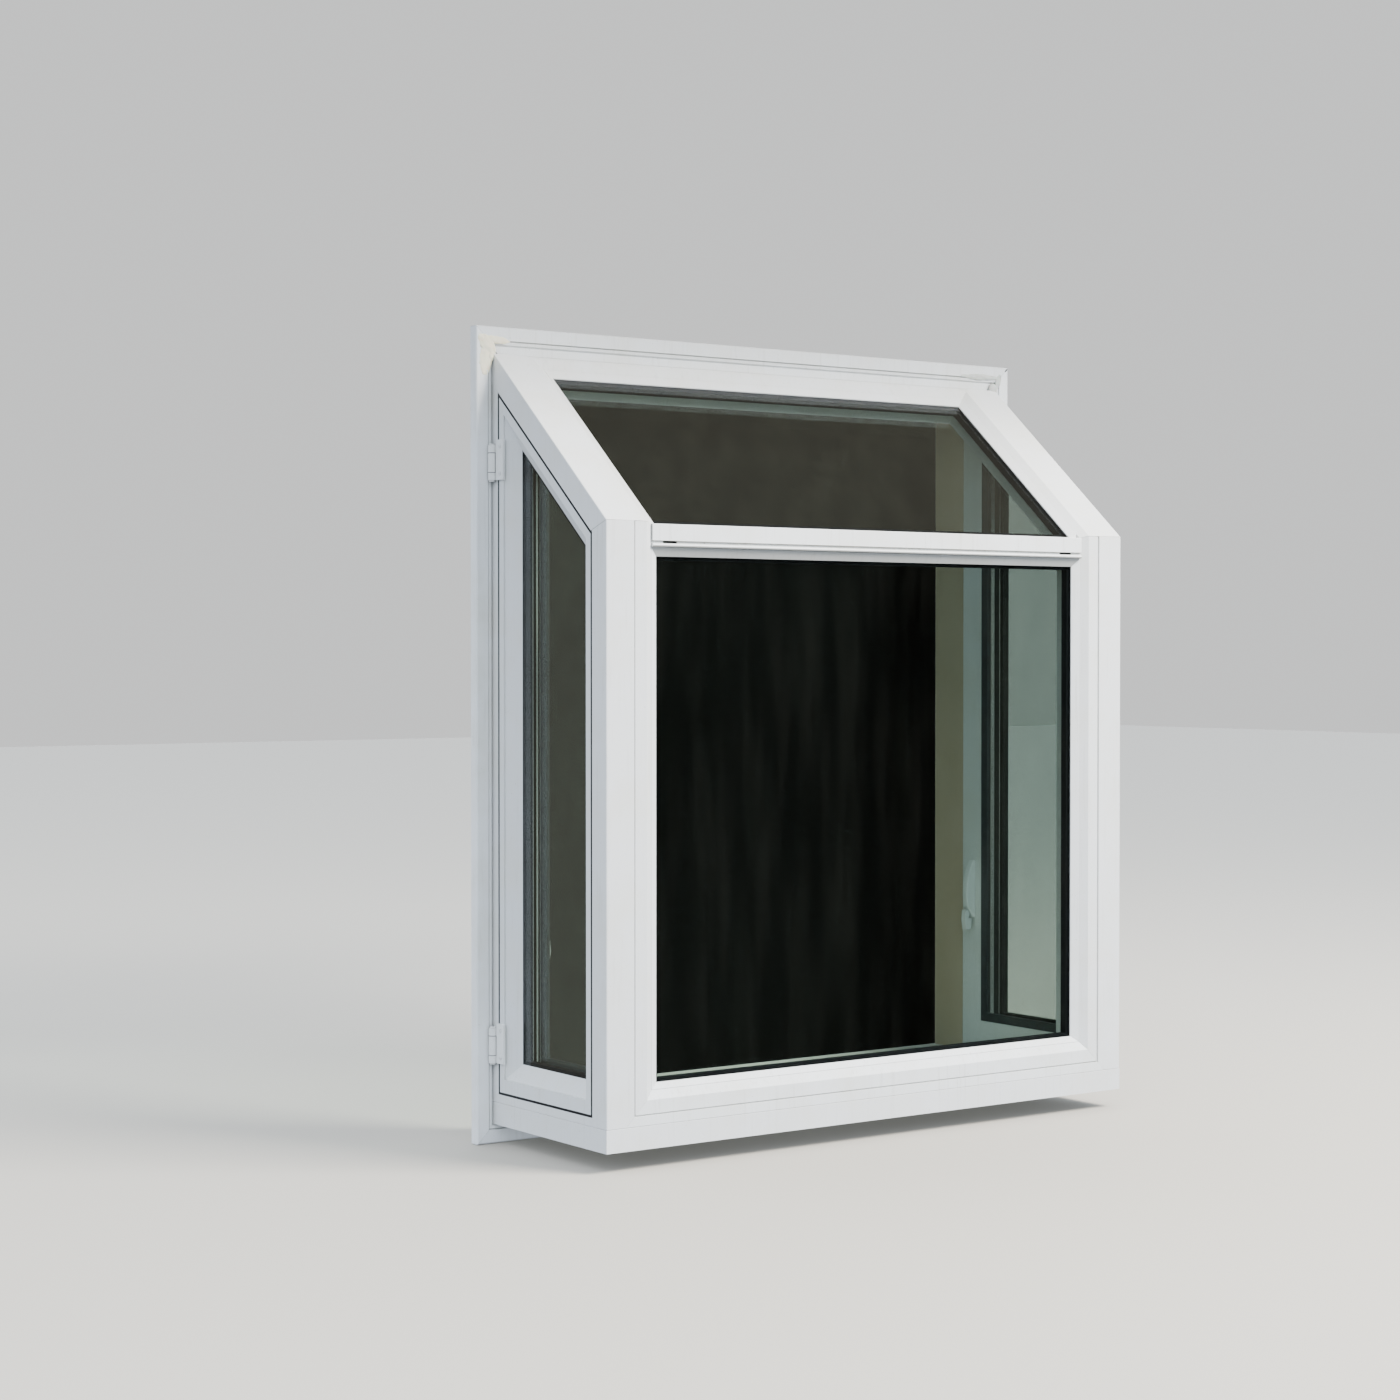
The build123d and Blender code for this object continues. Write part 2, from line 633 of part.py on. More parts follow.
for hand, word in SIDES:
    with BuildPart() as sash:
        with BuildSketch(Plane.YZ.offset(hand * HALF)):
            Polygon(*sash_outline(0), align=None)
        extrude(amount=-hand * SASH_T)
        with BuildSketch(Plane.YZ.offset(hand * HALF)):
            Polygon(*sash_outline(SASH_LIP), align=None)
        extrude(amount=-hand * SASH_STEP, mode=Mode.SUBTRACT)
        with BuildSketch(Plane.YZ.offset(hand * (HALF - SASH_STEP))):
            Polygon(*sash_outline(SASH_W - SASH_BEVEL), align=None)
        with BuildSketch(Plane.YZ.offset(hand * (HALF - SASH_GLASS_D))):
            Polygon(*sash_outline(SASH_W), align=None)
        loft(mode=Mode.SUBTRACT)
        with BuildSketch(Plane.YZ.offset(hand * (HALF - SASH_GLASS_D))):
            Polygon(*sash_outline(SASH_W - SASH_POCKET), align=None)
        extrude(amount=-hand * (SASH_T - SASH_GLASS_D), mode=Mode.SUBTRACT)
    save(sash, "sash_" + word)

    with BuildPart() as sash_glass:
        for start in (SASH_GLASS_D, SASH_GLASS_D + SASH_PANE + SASH_CAVITY):
            with BuildSketch(Plane.YZ.offset(hand * (HALF - start))):
                Polygon(*sash_outline(SASH_W - SASH_POCKET + SASH_CLEAR), align=None)
            extrude(amount=-hand * SASH_PANE)
    save(sash_glass, "sash_glass_" + word)

# Sash beads and glass spacers
SASH_BACK_D = SASH_GLASS_D + 2 * SASH_PANE + SASH_CAVITY
with BuildPart() as sash_beads:
    for hand, word in SIDES:
        with BuildSketch(Plane.YZ.offset(hand * (HALF - SASH_BACK_D))):
            Polygon(*sash_outline(SASH_W - SASH_POCKET + SEAM), align=None)
            Polygon(*sash_outline(SASH_W), align=None, mode=Mode.SUBTRACT)
        extrude(amount=-hand * (SASH_T - SASH_BACK_D))
        with BuildSketch(Plane.YZ.offset(hand * (HALF - SASH_BACK_D - BEAD_LIP))):
            Polygon(*sash_outline(SASH_W), align=None)
        with BuildSketch(Plane.YZ.offset(hand * (HALF - SASH_T))):
            Polygon(*sash_outline(SASH_W - BEAD_BEVEL), align=None)
        loft(mode=Mode.SUBTRACT)
save(sash_beads, "sash_beads")

# Insect screens
# A slim dark frame on the room side of each sash, between the stops. It holds the mesh.
def screen_outline(inset):
    """Side view corners of the screen, inset from its outer edge."""
    rear = -STOP_Y - SEAM - inset
    front = -BOX_OUT + FRAME_D + SEAM + inset
    low = RAIL_STOP_Z + SEAM + inset
    below = FRAME_D + SEAM + inset
    return [
        (rear, low),
        (rear, under_roof(rear, below)),
        (front, under_roof(front, below)),
        (front, low),
    ]


with BuildPart() as insect_screens:
    for hand, word in SIDES:
        with BuildSketch(Plane.YZ.offset(hand * (HALF - STOP_W))):
            Polygon(*screen_outline(0), align=None)
            Polygon(*screen_outline(SCREEN_W), align=None, mode=Mode.SUBTRACT)
        extrude(amount=hand * SCREEN_T)
save(insect_screens, "insect_screens")

SPACER_OUT_W = SIGHT_W - SPACER_IN
SPACER_LOW_Z = SIGHT_LOW_Z - SPACER_IN
SPACER_OUT_Z = SIGHT_TOP_Z + SPACER_IN
SPACER_FOOT_T = GLASS_FOOT_T - SPACER_IN
with BuildPart() as glass_spacers:
    with BuildSketch(Plane.XZ.offset(BOX_OUT - GLASS_D - PANE)):
        Polygon(*front_opening(SPACER_OUT_W, SPACER_LOW_Z, SPACER_OUT_Z), align=None)
        Polygon(
            *front_opening(
                SPACER_OUT_W + SPACER_W, SPACER_LOW_Z + SPACER_W, SPACER_OUT_Z - SPACER_W
            ),
            align=None,
            mode=Mode.SUBTRACT,
        )
    extrude(amount=-CAVITY)
    with BuildSketch(ROOF.offset(-GLASS_D - PANE)):
        Polygon(*roof_opening(SPACER_OUT_W, SPACER_FOOT_T), align=None)
        Polygon(
            *roof_opening(SPACER_OUT_W + SPACER_W, SPACER_FOOT_T - SPACER_W),
            align=None,
            mode=Mode.SUBTRACT,
        )
    extrude(amount=-CAVITY)
    for hand, word in SIDES:
        with BuildSketch(Plane.YZ.offset(hand * (HALF - SASH_GLASS_D - SASH_PANE))):
            Polygon(*sash_outline(SASH_W - SPACER_IN), align=None)
            Polygon(*sash_outline(SASH_W - SPACER_IN + SPACER_W), align=None, mode=Mode.SUBTRACT)
        extrude(amount=-hand * SASH_CAVITY)
save(glass_spacers, "glass_spacers")

# Hinges
# Surface hinge at the wall side of each sash. A tall plate with the outer knuckles is on the
# sash, and a short leaf with the middle knuckle is on the frame beside the wall flange.
PIN_X = HALF + KNUCKLE_R
LEAF_Y = 2 - FLANGE_T - SEAM
TONGUE_H = HINGE_H - 2 * KNUCKLE_H - 2 * SEAM
PLATE_EDGE = PIN_Y - KNUCKLE_R - 0.8
PLATE_FAR = -JAMB_Y - GAP - LEAF_L
for hand, word in SIDES:
    with BuildPart() as hinge_frame:
        for low in HINGE_Z:
            with BuildSketch(Plane.YZ.offset(hand * HALF)):
                with Locations(((PIN_Y + LEAF_Y) / 2, low + HINGE_H / 2)):
                    Rectangle(LEAF_Y - PIN_Y, TONGUE_H)
            extrude(amount=hand * LEAF_T)
            with BuildSketch(Plane.XY.offset(low + KNUCKLE_H + SEAM)):
                with Locations((hand * PIN_X, PIN_Y)):
                    Circle(KNUCKLE_R)
            extrude(amount=TONGUE_H)
    save(hinge_frame, "hinge_frame_leaves_" + word)

    with BuildPart() as hinge_sash:
        for low in HINGE_Z:
            high = low + HINGE_H
            with BuildSketch(Plane.YZ.offset(hand * HALF)):
                Polygon(
                    (PIN_Y, low),
                    (PIN_Y, low + KNUCKLE_H),
                    (PLATE_EDGE, low + KNUCKLE_H),
                    (PLATE_EDGE, high - KNUCKLE_H),
                    (PIN_Y, high - KNUCKLE_H),
                    (PIN_Y, high),
                    (PLATE_EDGE, high),
                    (PLATE_EDGE, high + LEAF_TOP),
                    (PLATE_FAR, high + LEAF_TOP),
                    (PLATE_FAR, low),
                    align=None,
                )
            extrude(amount=hand * LEAF_T)
            for z in (low, high - KNUCKLE_H):
                with BuildSketch(Plane.XY.offset(z)):
                    with Locations((hand * PIN_X, PIN_Y)):
                        Circle(KNUCKLE_R)
                extrude(amount=KNUCKLE_H)
    save(hinge_sash, "hinge_sash_leaves_" + word)

# Locking levers
# A half-moon cover on the room side of each wall jamb hides the lock. The short thumb lever
# hangs below it on a narrow stem. Points are (out from the jamb, up from the foot of the cover).
INNER = HALF - STOP_W - SEAM
COVER_Z = HANDLE_Z + LEVER_H
THUMB = ((23, 15), (15, -2), (7, -2), (9, -LEVER_H), (22, 1 - LEVER_H), (25, -4))
STEM = ((9.4, 6.7), (14.6, 15.3), (20.5, 8.5), (14, -4))
for hand, word in SIDES:
    with BuildPart() as cover:
        with BuildSketch(Plane.XZ.offset(-HANDLE_Y - COVER_W / 2)):
            with BuildLine():
                Polyline(
                    (hand * (INNER - COVER_TIP), COVER_Z + COVER_L),
                    (hand * INNER, COVER_Z + COVER_L),
                    (hand * INNER, COVER_Z),
                    (hand * (INNER - COVER_TIP), COVER_Z),
                    (hand * (INNER - 0.9 * COVER_OUT), COVER_Z + COVER_L / 5),
                )
                ThreePointArc(
                    (hand * (INNER - 0.9 * COVER_OUT), COVER_Z + COVER_L / 5),
                    (hand * (INNER - COVER_OUT), COVER_Z + COVER_L / 2),
                    (hand * (INNER - COVER_TIP), COVER_Z + COVER_L),
                )
            make_face()
        extrude(amount=COVER_W)
        sides = cover.faces().group_by(Axis.Y)
        rims = sides[0].edges() + sides[-1].edges()
        chamfer([edge for edge in rims if abs(abs(edge.center().X) - INNER) > 1], COVER_TIP / 2)
    save(cover, "lever_plate_" + word)

    with BuildPart() as lever:
        for outline, width in ((THUMB, LEVER_W), (STEM, STEM_W)):
            with BuildSketch(Plane.XZ.offset(-HANDLE_Y - width / 2)):
                Polygon(*[(hand * (INNER - out), COVER_Z + up) for out, up in outline], align=None)
            extrude(amount=width)
    save(lever, "lever_" + word)
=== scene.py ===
import bpy
from math import atan2, cos, pi, radians, sin
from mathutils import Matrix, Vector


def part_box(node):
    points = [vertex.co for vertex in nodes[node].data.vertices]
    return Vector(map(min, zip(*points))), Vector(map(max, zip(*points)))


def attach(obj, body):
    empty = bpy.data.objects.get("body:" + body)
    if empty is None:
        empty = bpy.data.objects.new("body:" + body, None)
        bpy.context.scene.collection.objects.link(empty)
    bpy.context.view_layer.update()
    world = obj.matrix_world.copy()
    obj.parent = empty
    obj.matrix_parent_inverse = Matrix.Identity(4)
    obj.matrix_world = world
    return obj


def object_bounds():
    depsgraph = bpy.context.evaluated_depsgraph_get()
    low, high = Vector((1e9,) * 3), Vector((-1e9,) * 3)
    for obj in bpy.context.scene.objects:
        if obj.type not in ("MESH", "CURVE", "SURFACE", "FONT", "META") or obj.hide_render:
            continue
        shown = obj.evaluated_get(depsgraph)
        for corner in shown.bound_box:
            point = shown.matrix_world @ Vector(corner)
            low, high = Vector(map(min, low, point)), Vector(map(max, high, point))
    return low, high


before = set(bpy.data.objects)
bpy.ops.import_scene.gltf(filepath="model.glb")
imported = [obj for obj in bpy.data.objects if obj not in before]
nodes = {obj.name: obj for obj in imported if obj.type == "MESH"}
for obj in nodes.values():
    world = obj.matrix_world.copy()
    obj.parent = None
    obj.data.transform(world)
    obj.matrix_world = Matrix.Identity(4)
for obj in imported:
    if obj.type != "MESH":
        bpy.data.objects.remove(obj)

cad_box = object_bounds()

# Wall flange
# Four mitred trims round the box, each one extruded white uPVC strip with a flat outer band and
# two stepped ridges. They are screwed to the wall and carry the frame on the plate behind it.
ROOF_RISE = 0.306
ROOF_RUN = 0.360
SLOPE = atan2(ROOF_RISE, ROOF_RUN)
ALONG_X = (0, pi / 2, 0)
ALONG_Y = (-pi / 2, 0, 0)
ALONG_Z = (0, 0, 0)
ALONG_ROOF = (SLOPE - pi / 2, 0, 0)


def linear(colour):
    """Turns an sRGB hex colour to linear RGBA."""
    channels = [int(colour[i : i + 2], 16) / 255 for i in (1, 3, 5)]
    return [c / 12.92 if c <= 0.04045 else ((c + 0.055) / 1.055) ** 2.4 for c in channels] + [1]


def add(tree, kind, settings, links=()):
    """Adds a node with its settings and links."""
    node = tree.nodes.new(kind)
    for key, value in settings.items():
        if isinstance(key, str) and hasattr(node, key):
            setattr(node, key, value)
        else:
            node.inputs[key].default_value = value
    for key, socket in dict(links).items():
        tree.links.new(socket, node.inputs[key])
    return node


def new_tree(name):
    """A new material with an empty node tree."""
    material = bpy.data.materials.new(name)
    material.use_nodes = True
    material.node_tree.nodes.clear()
    return material, material.node_tree


def dress(material, *names):
    """Puts the material on CAD nodes."""
    for name in names:
        nodes[name].material_slots[0].material = material


def white_vinyl(name, colour, along, dirt_and_corner_shade=0.5, underside_shade=0.0):
    """Extruded rigid uPVC. Faint die lines run along each bar, the gloss is low and even, the
    white has yellowed in soft clouds, and a few grey specks of dirt lie about. The corners,
    and the faces that look down where a share is given, are darkened grey as painted shade."""
    material, tree = new_tree(name)
    place = add(tree, "ShaderNodeTexCoord", {}).outputs["Object"]
    # Die lines about 3 mm apart and over a metre long.
    lay = add(
        tree,
        "ShaderNodeMapping",
        {"vector_type": "TEXTURE", "Rotation": along, "Scale": (0.003, 0.003, 1.4)},
        {"Vector": place},
    ).outputs[0]
    lines = add(tree, "ShaderNodeTexNoise", {"Scale": 1, "Detail": 2}, {"Vector": lay}).outputs[0]
    # Clouds about 90 mm wide where the white has aged unevenly.
    clouds = add(
        tree, "ShaderNodeTexNoise", {"Scale": 11, "Detail": 3, "Roughness": 0.6}, {"Vector": place}
    ).outputs[0]
    # Rain marks about 7 mm wide and 120 mm long, always upright.
    fall = add(
        tree,
        "ShaderNodeMapping",
        {"vector_type": "TEXTURE", "Scale": (0.007, 0.007, 0.12)},
        {"Vector": place},
    ).outputs[0]
    rain = add(tree, "ShaderNodeTexNoise", {"Scale": 1, "Detail": 4}, {"Vector": fall}).outputs[0]
    # Specks of dirt about 4 mm apart.
    specks = add(
        tree, "ShaderNodeTexNoise", {"Scale": 260, "Detail": 1}, {"Vector": place}
    ).outputs[0]
    corners = add(
        tree, "ShaderNodeAmbientOcclusion", {"samples": 6, "Distance": 0.012}
    ).outputs["AO"]
    aged = add(
        tree,
        "ShaderNodeMapRange",
        {"From Min": 0.42, "From Max": 0.75, "To Max": 0.5},
        {"Value": clouds},
    ).outputs[0]
    white = add(
        tree,
        "ShaderNodeMix",
        {"data_type": "RGBA", 6: linear(colour), 7: linear("#dedcd0")},
        {0: aged},
    ).outputs[2]
    streaks = add(
        tree,
        "ShaderNodeMapRange",
        {"From Min": 0.56, "From Max": 0.8, "To Max": 0.35 * dirt_and_corner_shade},
        {"Value": rain},
    ).outputs[0]
    streaked = add(
        tree,
        "ShaderNodeMix",
        {"data_type": "RGBA", 7: linear("#a5a397")},
        {0: streaks, 6: white},
    ).outputs[2]
    # Painted shade: ambient occlusion darkens corners and recesses toward grey #7d7b70.
    painted_corner_shade = add(
        tree,
        "ShaderNodeMapRange",
        {"From Min": 0.75, "From Max": 0.25, "To Max": 0.6 * dirt_and_corner_shade},
        {"Value": corners},
    ).outputs[0]
    shaded = add(
        tree,
        "ShaderNodeMix",
        {"data_type": "RGBA", 7: linear("#7d7b70")},
        {0: painted_corner_shade, 6: streaked},
    ).outputs[2]
    dots = add(
        tree,
        "ShaderNodeMapRange",
        {"From Min": 0.74, "From Max": 0.8, "To Max": 0.5 * dirt_and_corner_shade},
        {"Value": specks},
    ).outputs[0]
    dotted = add(
        tree,
        "ShaderNodeMix",
        {"data_type": "RGBA", 7: linear("#6f6c60")},
        {0: dots, 6: shaded},
    ).outputs[2]
    facing = add(tree, "ShaderNodeNewGeometry", {}).outputs["Normal"]
    height = add(tree, "ShaderNodeSeparateXYZ", {}, {0: facing}).outputs["Z"]
    # Painted shade: faces that look down are darkened toward grey-brown #8f8a7c.
    painted_underside_shade = add(
        tree,
        "ShaderNodeMapRange",
        {"From Min": -0.15, "From Max": -0.6, "To Max": underside_shade},
        {"Value": height},
    ).outputs[0]
    shaded_below = add(
        tree,
        "ShaderNodeMix",
        {"data_type": "RGBA", 7: linear("#8f8a7c")},
        {0: painted_underside_shade, 6: dotted},
    ).outputs[2]
    rough = add(
        tree,
        "ShaderNodeMapRange",
        {"From Min": 0.3, "From Max": 0.7, "To Min": 0.36, "To Max": 0.5},
        {"Value": rain},
    ).outputs[0]
    bump = add(
        tree,
        "ShaderNodeBump",
        {"Strength": 0.12, "Distance": 0.0003},
        {"Height": lines},
    ).outputs[0]
    shader = add(
        tree,
        "ShaderNodeBsdfPrincipled",
        {"IOR": 1.53},
        {"Base Color": shaded_below, "Roughness": rough, "Normal": bump},
    ).outputs[0]
    add(tree, "ShaderNodeOutputMaterial", {}, {"Surface": shader})
    return material


# The head and sill trims get a darker white as painted shade, the side trims a lighter white as
# painted light.
dress(white_vinyl("shaded_trim_uPVC_along_x", "#e9ebea", ALONG_X, 0.7), "flange_head", "flange_sill")
dress(white_vinyl("lit_trim_uPVC_upright", "#f3f5f4", ALONG_Z, 0.6), "flange_left", "flange_right")

# Corner sealant
# Silicone pressed over the mitres of the wall flange by hand after it was fixed. It lies in low
# lumps, cream at the left corner and dusty grey at the right, where one mitre has opened.


def finish_piece(name, material, angle=0.6):
    """Names the new piece, turns its faces outwards, smooths its soft edges and hands it over."""
    piece = bpy.context.object
    piece.name = name
    bpy.ops.object.mode_set(mode="EDIT")
    bpy.ops.mesh.select_all(action="SELECT")
    bpy.ops.mesh.normals_make_consistent(inside=False)
    bpy.ops.object.mode_set(mode="OBJECT")
    bpy.ops.object.transform_apply(location=True, rotation=True, scale=True)
    bpy.ops.object.shade_smooth_by_angle(angle=angle)
    piece.data.materials.clear()
    piece.data.materials.append(material)
    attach(piece, "root")


def silicone(name, colour, dusty):
    """Cured silicone: a soft even sheen, slightly see-through at thin edges, dust on top."""
    material, tree = new_tree(name)
    place = add(tree, "ShaderNodeTexCoord", {}).outputs["Object"]
    # Finger marks about 8 mm long and dust about 0.7 mm across.
    marks = add(
        tree, "ShaderNodeTexNoise", {"Scale": 120, "Detail": 2}, {"Vector": place}
    ).outputs[0]
    dust = add(
        tree, "ShaderNodeTexNoise", {"Scale": 1400, "Detail": 1}, {"Vector": place}
    ).outputs[0]
    tone = add(
        tree,
        "ShaderNodeMix",
        {"data_type": "RGBA", 6: linear(colour), 7: linear(dusty)},
        {0: marks},
    ).outputs[2]
    relief = add(
        tree, "ShaderNodeMix", {"data_type": "FLOAT", "Factor": 0.3}, {2: marks, 3: dust}
    ).outputs[0]
    bump = add(
        tree, "ShaderNodeBump", {"Strength": 0.3, "Distance": 0.0006}, {"Height": relief}
    ).outputs[0]
    rough = add(
        tree, "ShaderNodeMapRange", {"To Min": 0.35, "To Max": 0.6}, {"Value": dust}
    ).outputs[0]
    shader = add(
        tree,
        "ShaderNodeBsdfPrincipled",
        {"IOR": 1.41, "Subsurface Weight": 0.15, "Subsurface Scale": 0.002},
        {"Base Color": tone, "Normal": bump, "Roughness": rough},
    ).outputs[0]
    add(tree, "ShaderNodeOutputMaterial", {}, {"Surface": shader})
    return material


cream = silicone("cream_silicone", "#fdf5dc", "#efe6c8")
grey = silicone("dusty_silicone", "#d3d5ce", "#b9bbb3")
# The near-black lump is painted shade for the dark inside the opened mitre.
open_mitre_shade = silicone("painted_shade_in_open_mitre", "#1d1b19", "#2c2a27")
lumps = bpy.data.textures.new("sealant_lumps", "CLOUDS")
lumps.noise_scale = 0.009


def sealant_smear(name, material, place, size, turn, lift):
    """A pressed lump of sealant: a low dome with an uneven edge, turned on the wall face."""
    bpy.ops.object.select_all(action="DESELECT")
    bpy.ops.mesh.primitive_uv_sphere_add(
        segments=40, ring_count=20, radius=1, location=place, rotation=(0, turn, 0)
    )
    bpy.context.object.scale = size
    bpy.ops.object.transform_apply(location=True, rotation=True, scale=True)
    wrinkle = bpy.context.object.modifiers.new("wrinkle", "DISPLACE")
    wrinkle.texture = lumps
    wrinkle.texture_coords = "LOCAL"
    wrinkle.strength = lift
    bpy.ops.object.modifier_apply(modifier="wrinkle")
    finish_piece(name, material, 1.2)


TRIM_FACE = -0.0195
for name, material, place, size, turn, lift in (
    ("top_left_mitre", cream, (-0.6005, TRIM_FACE, 1.3770), (0.023, 0.0026, 0.013), 0.83, 0.004),
    ("top_left_head", cream, (-0.5820, TRIM_FACE, 1.3860), (0.030, 0.0016, 0.007), 0.03, 0.003),
    ("top_left_side", cream, (-0.6030, TRIM_FACE, 1.3520), (0.013, 0.0020, 0.030), 0.08, 0.003),
    ("top_left_ridge", cream, (-0.5915, TRIM_FACE, 1.3580), (0.007, 0.0030, 0.010), 0.30, 0.004),
    ("top_right_ridge", grey, (0.5480, TRIM_FACE, 1.3865), (0.052, 0.0022, 0.0055), 0.0, 0.004),
    ("top_right_mitre", grey, (0.5960, TRIM_FACE, 1.3800), (0.007, 0.0018, 0.016), 0.30, 0.004),
    ("top_right_notch", grey, (0.5835, -0.0180, 1.3640), (0.0105, 0.0046, 0.012), 0.0, 0.002),
    # Painted shade: a near-black lump where the mitre has opened.
    (
        "top_right_open_mitre_shade",
        open_mitre_shade,
        (0.6172, TRIM_FACE, 1.4037),
        (0.0055, 0.0014, 0.0015),
        -0.785,
        0.0004,
    ),
):
    sealant_smear("sealant_" + name, material, place, size, turn, lift)

# Box frame
# Posts, rails, rafters and the eave bar are one heavy white uPVC profile, cut to mitres and
# welded at the corners. The skirt closes the foot of the box.
FRAME_WHITE = "#e6e7e5"
dress(
    white_vinyl("frame_uPVC_upright", FRAME_WHITE, ALONG_Z),
    "corner_post_left",
    "corner_post_right",
    "wall_jamb_left",
    "wall_jamb_right",
)
dress(
    white_vinyl("frame_uPVC_along_x", FRAME_WHITE, ALONG_X),
    "head_rail",
    "skirt_front",
    "front_inner_beads",
)
# A lighter white than the frame, as painted light, with downward faces darkened as painted shade;
# the streaks and specks are dirt.
dress(
    white_vinyl("lit_weathered_uPVC_shaded_below_along_x", "#eceeec", ALONG_X, 0.8, 0.8),
    "eave_bar",
    "front_outer_beads",
    "front_rail",
)
dress(
    white_vinyl("frame_uPVC_along_roof", FRAME_WHITE, ALONG_ROOF, 0.3),
    "rafter_left",
    "rafter_right",
    "roof_outer_beads",
    "roof_inner_beads",
)
dress(
    white_vinyl("frame_uPVC_along_y", FRAME_WHITE, ALONG_Y),
    "skirt_left",
    "skirt_right",
    "side_rail_left",
    "side_rail_right",
)

# Side sashes
# A welded ring of slimmer uPVC profile each side, with the beads that hold its glass. It is
# hung on two hinges at the wall side and shuts on stops inside the frame.
dress(
    white_vinyl("sash_uPVC", "#e2e4e3", ALONG_Z),
    "sash_left",
    "sash_right",
    "sash_beads",
)

# Weatherseals
# A black EPDM bulb seal runs all round each sash, in the gap between the sash and the frame.
# A thinner one lies on its stops, and each is pressed into a groove. A thin black strip on the
# bevel by its glass is a painted reflection of the black spacer.
# The same black serves the real seals and, as painted reflection and shade, the bevel strips and
# the drain plates.
black_rubber_and_shade, tree = new_tree("black_EPDM_rubber_and_painted_shade")
place = add(tree, "ShaderNodeTexCoord", {}).outputs["Object"]
# A dull bloom in patches about 15 mm wide, over a skin that looks slightly grained.
bloom = add(tree, "ShaderNodeTexNoise", {"Scale": 70, "Detail": 3}, {"Vector": place}).outputs[0]
skin = add(tree, "ShaderNodeTexNoise", {"Scale": 1500, "Detail": 1}, {"Vector": place}).outputs[0]
tone = add(
    tree,
    "ShaderNodeMix",
    {"data_type": "RGBA", 6: linear("#0c0d0e"), 7: linear("#232425")},
    {0: bloom},
).outputs[2]
bump = add(
    tree, "ShaderNodeBump", {"Strength": 0.3, "Distance": 0.0002}, {"Height": skin}
).outputs[0]
rough = add(
    tree, "ShaderNodeMapRange", {"To Min": 0.5, "To Max": 0.75}, {"Value": bloom}
).outputs[0]
shader = add(
    tree,
    "ShaderNodeBsdfPrincipled",
    {"IOR": 1.52},
    {"Base Color": tone, "Normal": bump, "Roughness": rough},
).outputs[0]
add(tree, "ShaderNodeOutputMaterial", {}, {"Surface": shader})

SASH_GAP = 0.0034
SEAL_LAP = 0.0007
SEAL_PROUD = 0.0004
SEAL_THICK = 0.006
SEAL_ROUND = 0.0009
SASH_FOOT = 0.009
SASH_THICK = 0.0575
STOP_SEAL_INSET = 0.030
STOP_SEAL_WIDE = 0.005
STOP_SEAL_THICK = 0.004
STOP_SEAL_ROUND = 0.0012
SIGHT_INSET = 0.044
BEVEL_STRIP_WIDE = 0.0045
BEVEL_STRIP_THICK = 0.0007
BEVEL_FALL = 0.0145
BEVEL_WIDE = 0.008
BEVEL_STRIP_FALL = BEVEL_STRIP_WIDE * BEVEL_FALL / BEVEL_WIDE
GLASS_SEAT = 0.043
sash_low, sash_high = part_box("sash_right")


def cut_to_slope(top):
    """Cuts what is being edited along the roof slope through the point top, and closes it."""
    bpy.ops.mesh.select_all(action="SELECT")
    bpy.ops.mesh.bisect(
        plane_co=top, plane_no=(0, -sin(SLOPE), cos(SLOPE)), clear_outer=True, use_fill=True
    )


def side_ring(corners, x, wide, sink, thick):
    """A flat or dished ring in a side wall, with its top cut to the roof slope.

    Corners are front, rear, foot and the height of the slope at the rear edge."""
    front, rear, foot, top = corners
    bpy.ops.object.select_all(action="DESELECT")
    bpy.ops.mesh.primitive_plane_add(
        size=1,
        location=(x, (rear + front) / 2, (top + foot) / 2),
        rotation=(0, pi / 2, 0),
    )
    bpy.context.object.scale = (top - foot, rear - front, 1)
    bpy.ops.object.transform_apply(location=True, rotation=True, scale=True)
    bpy.ops.object.mode_set(mode="EDIT")
    cut_to_slope((0, rear, top))
    bpy.ops.mesh.select_all(action="SELECT")
    bpy.ops.mesh.inset(thickness=wide, depth=sink, use_even_offset=True)
    bpy.ops.mesh.delete(type="FACE")
    bpy.ops.mesh.select_all(action="SELECT")
    bpy.ops.mesh.extrude_region_move(TRANSFORM_OT_translate={"value": (thick, 0, 0)})
    bpy.ops.object.mode_set(mode="OBJECT")


def soften(width):
    """Rounds the sharp edges of the active piece."""
    soft = bpy.context.object.modifiers.new("soft_edge", "BEVEL")
    soft.width = width
    soft.segments = 2
    soft.limit_method = "ANGLE"
    bpy.ops.object.modifier_apply(modifier="soft_edge")


def inside_sash(inset):
    """Front, rear, foot and slope height of a line set inside the outer edge of the sash."""
    slope_rise = (1 + sin(SLOPE)) / cos(SLOPE)
    return (
        sash_low[1] + inset,
        sash_high[1] - inset,
        sash_low[2] + inset + (SASH_FOOT if inset > 0 else 0),
        sash_high[2] - inset * slope_rise,
    )


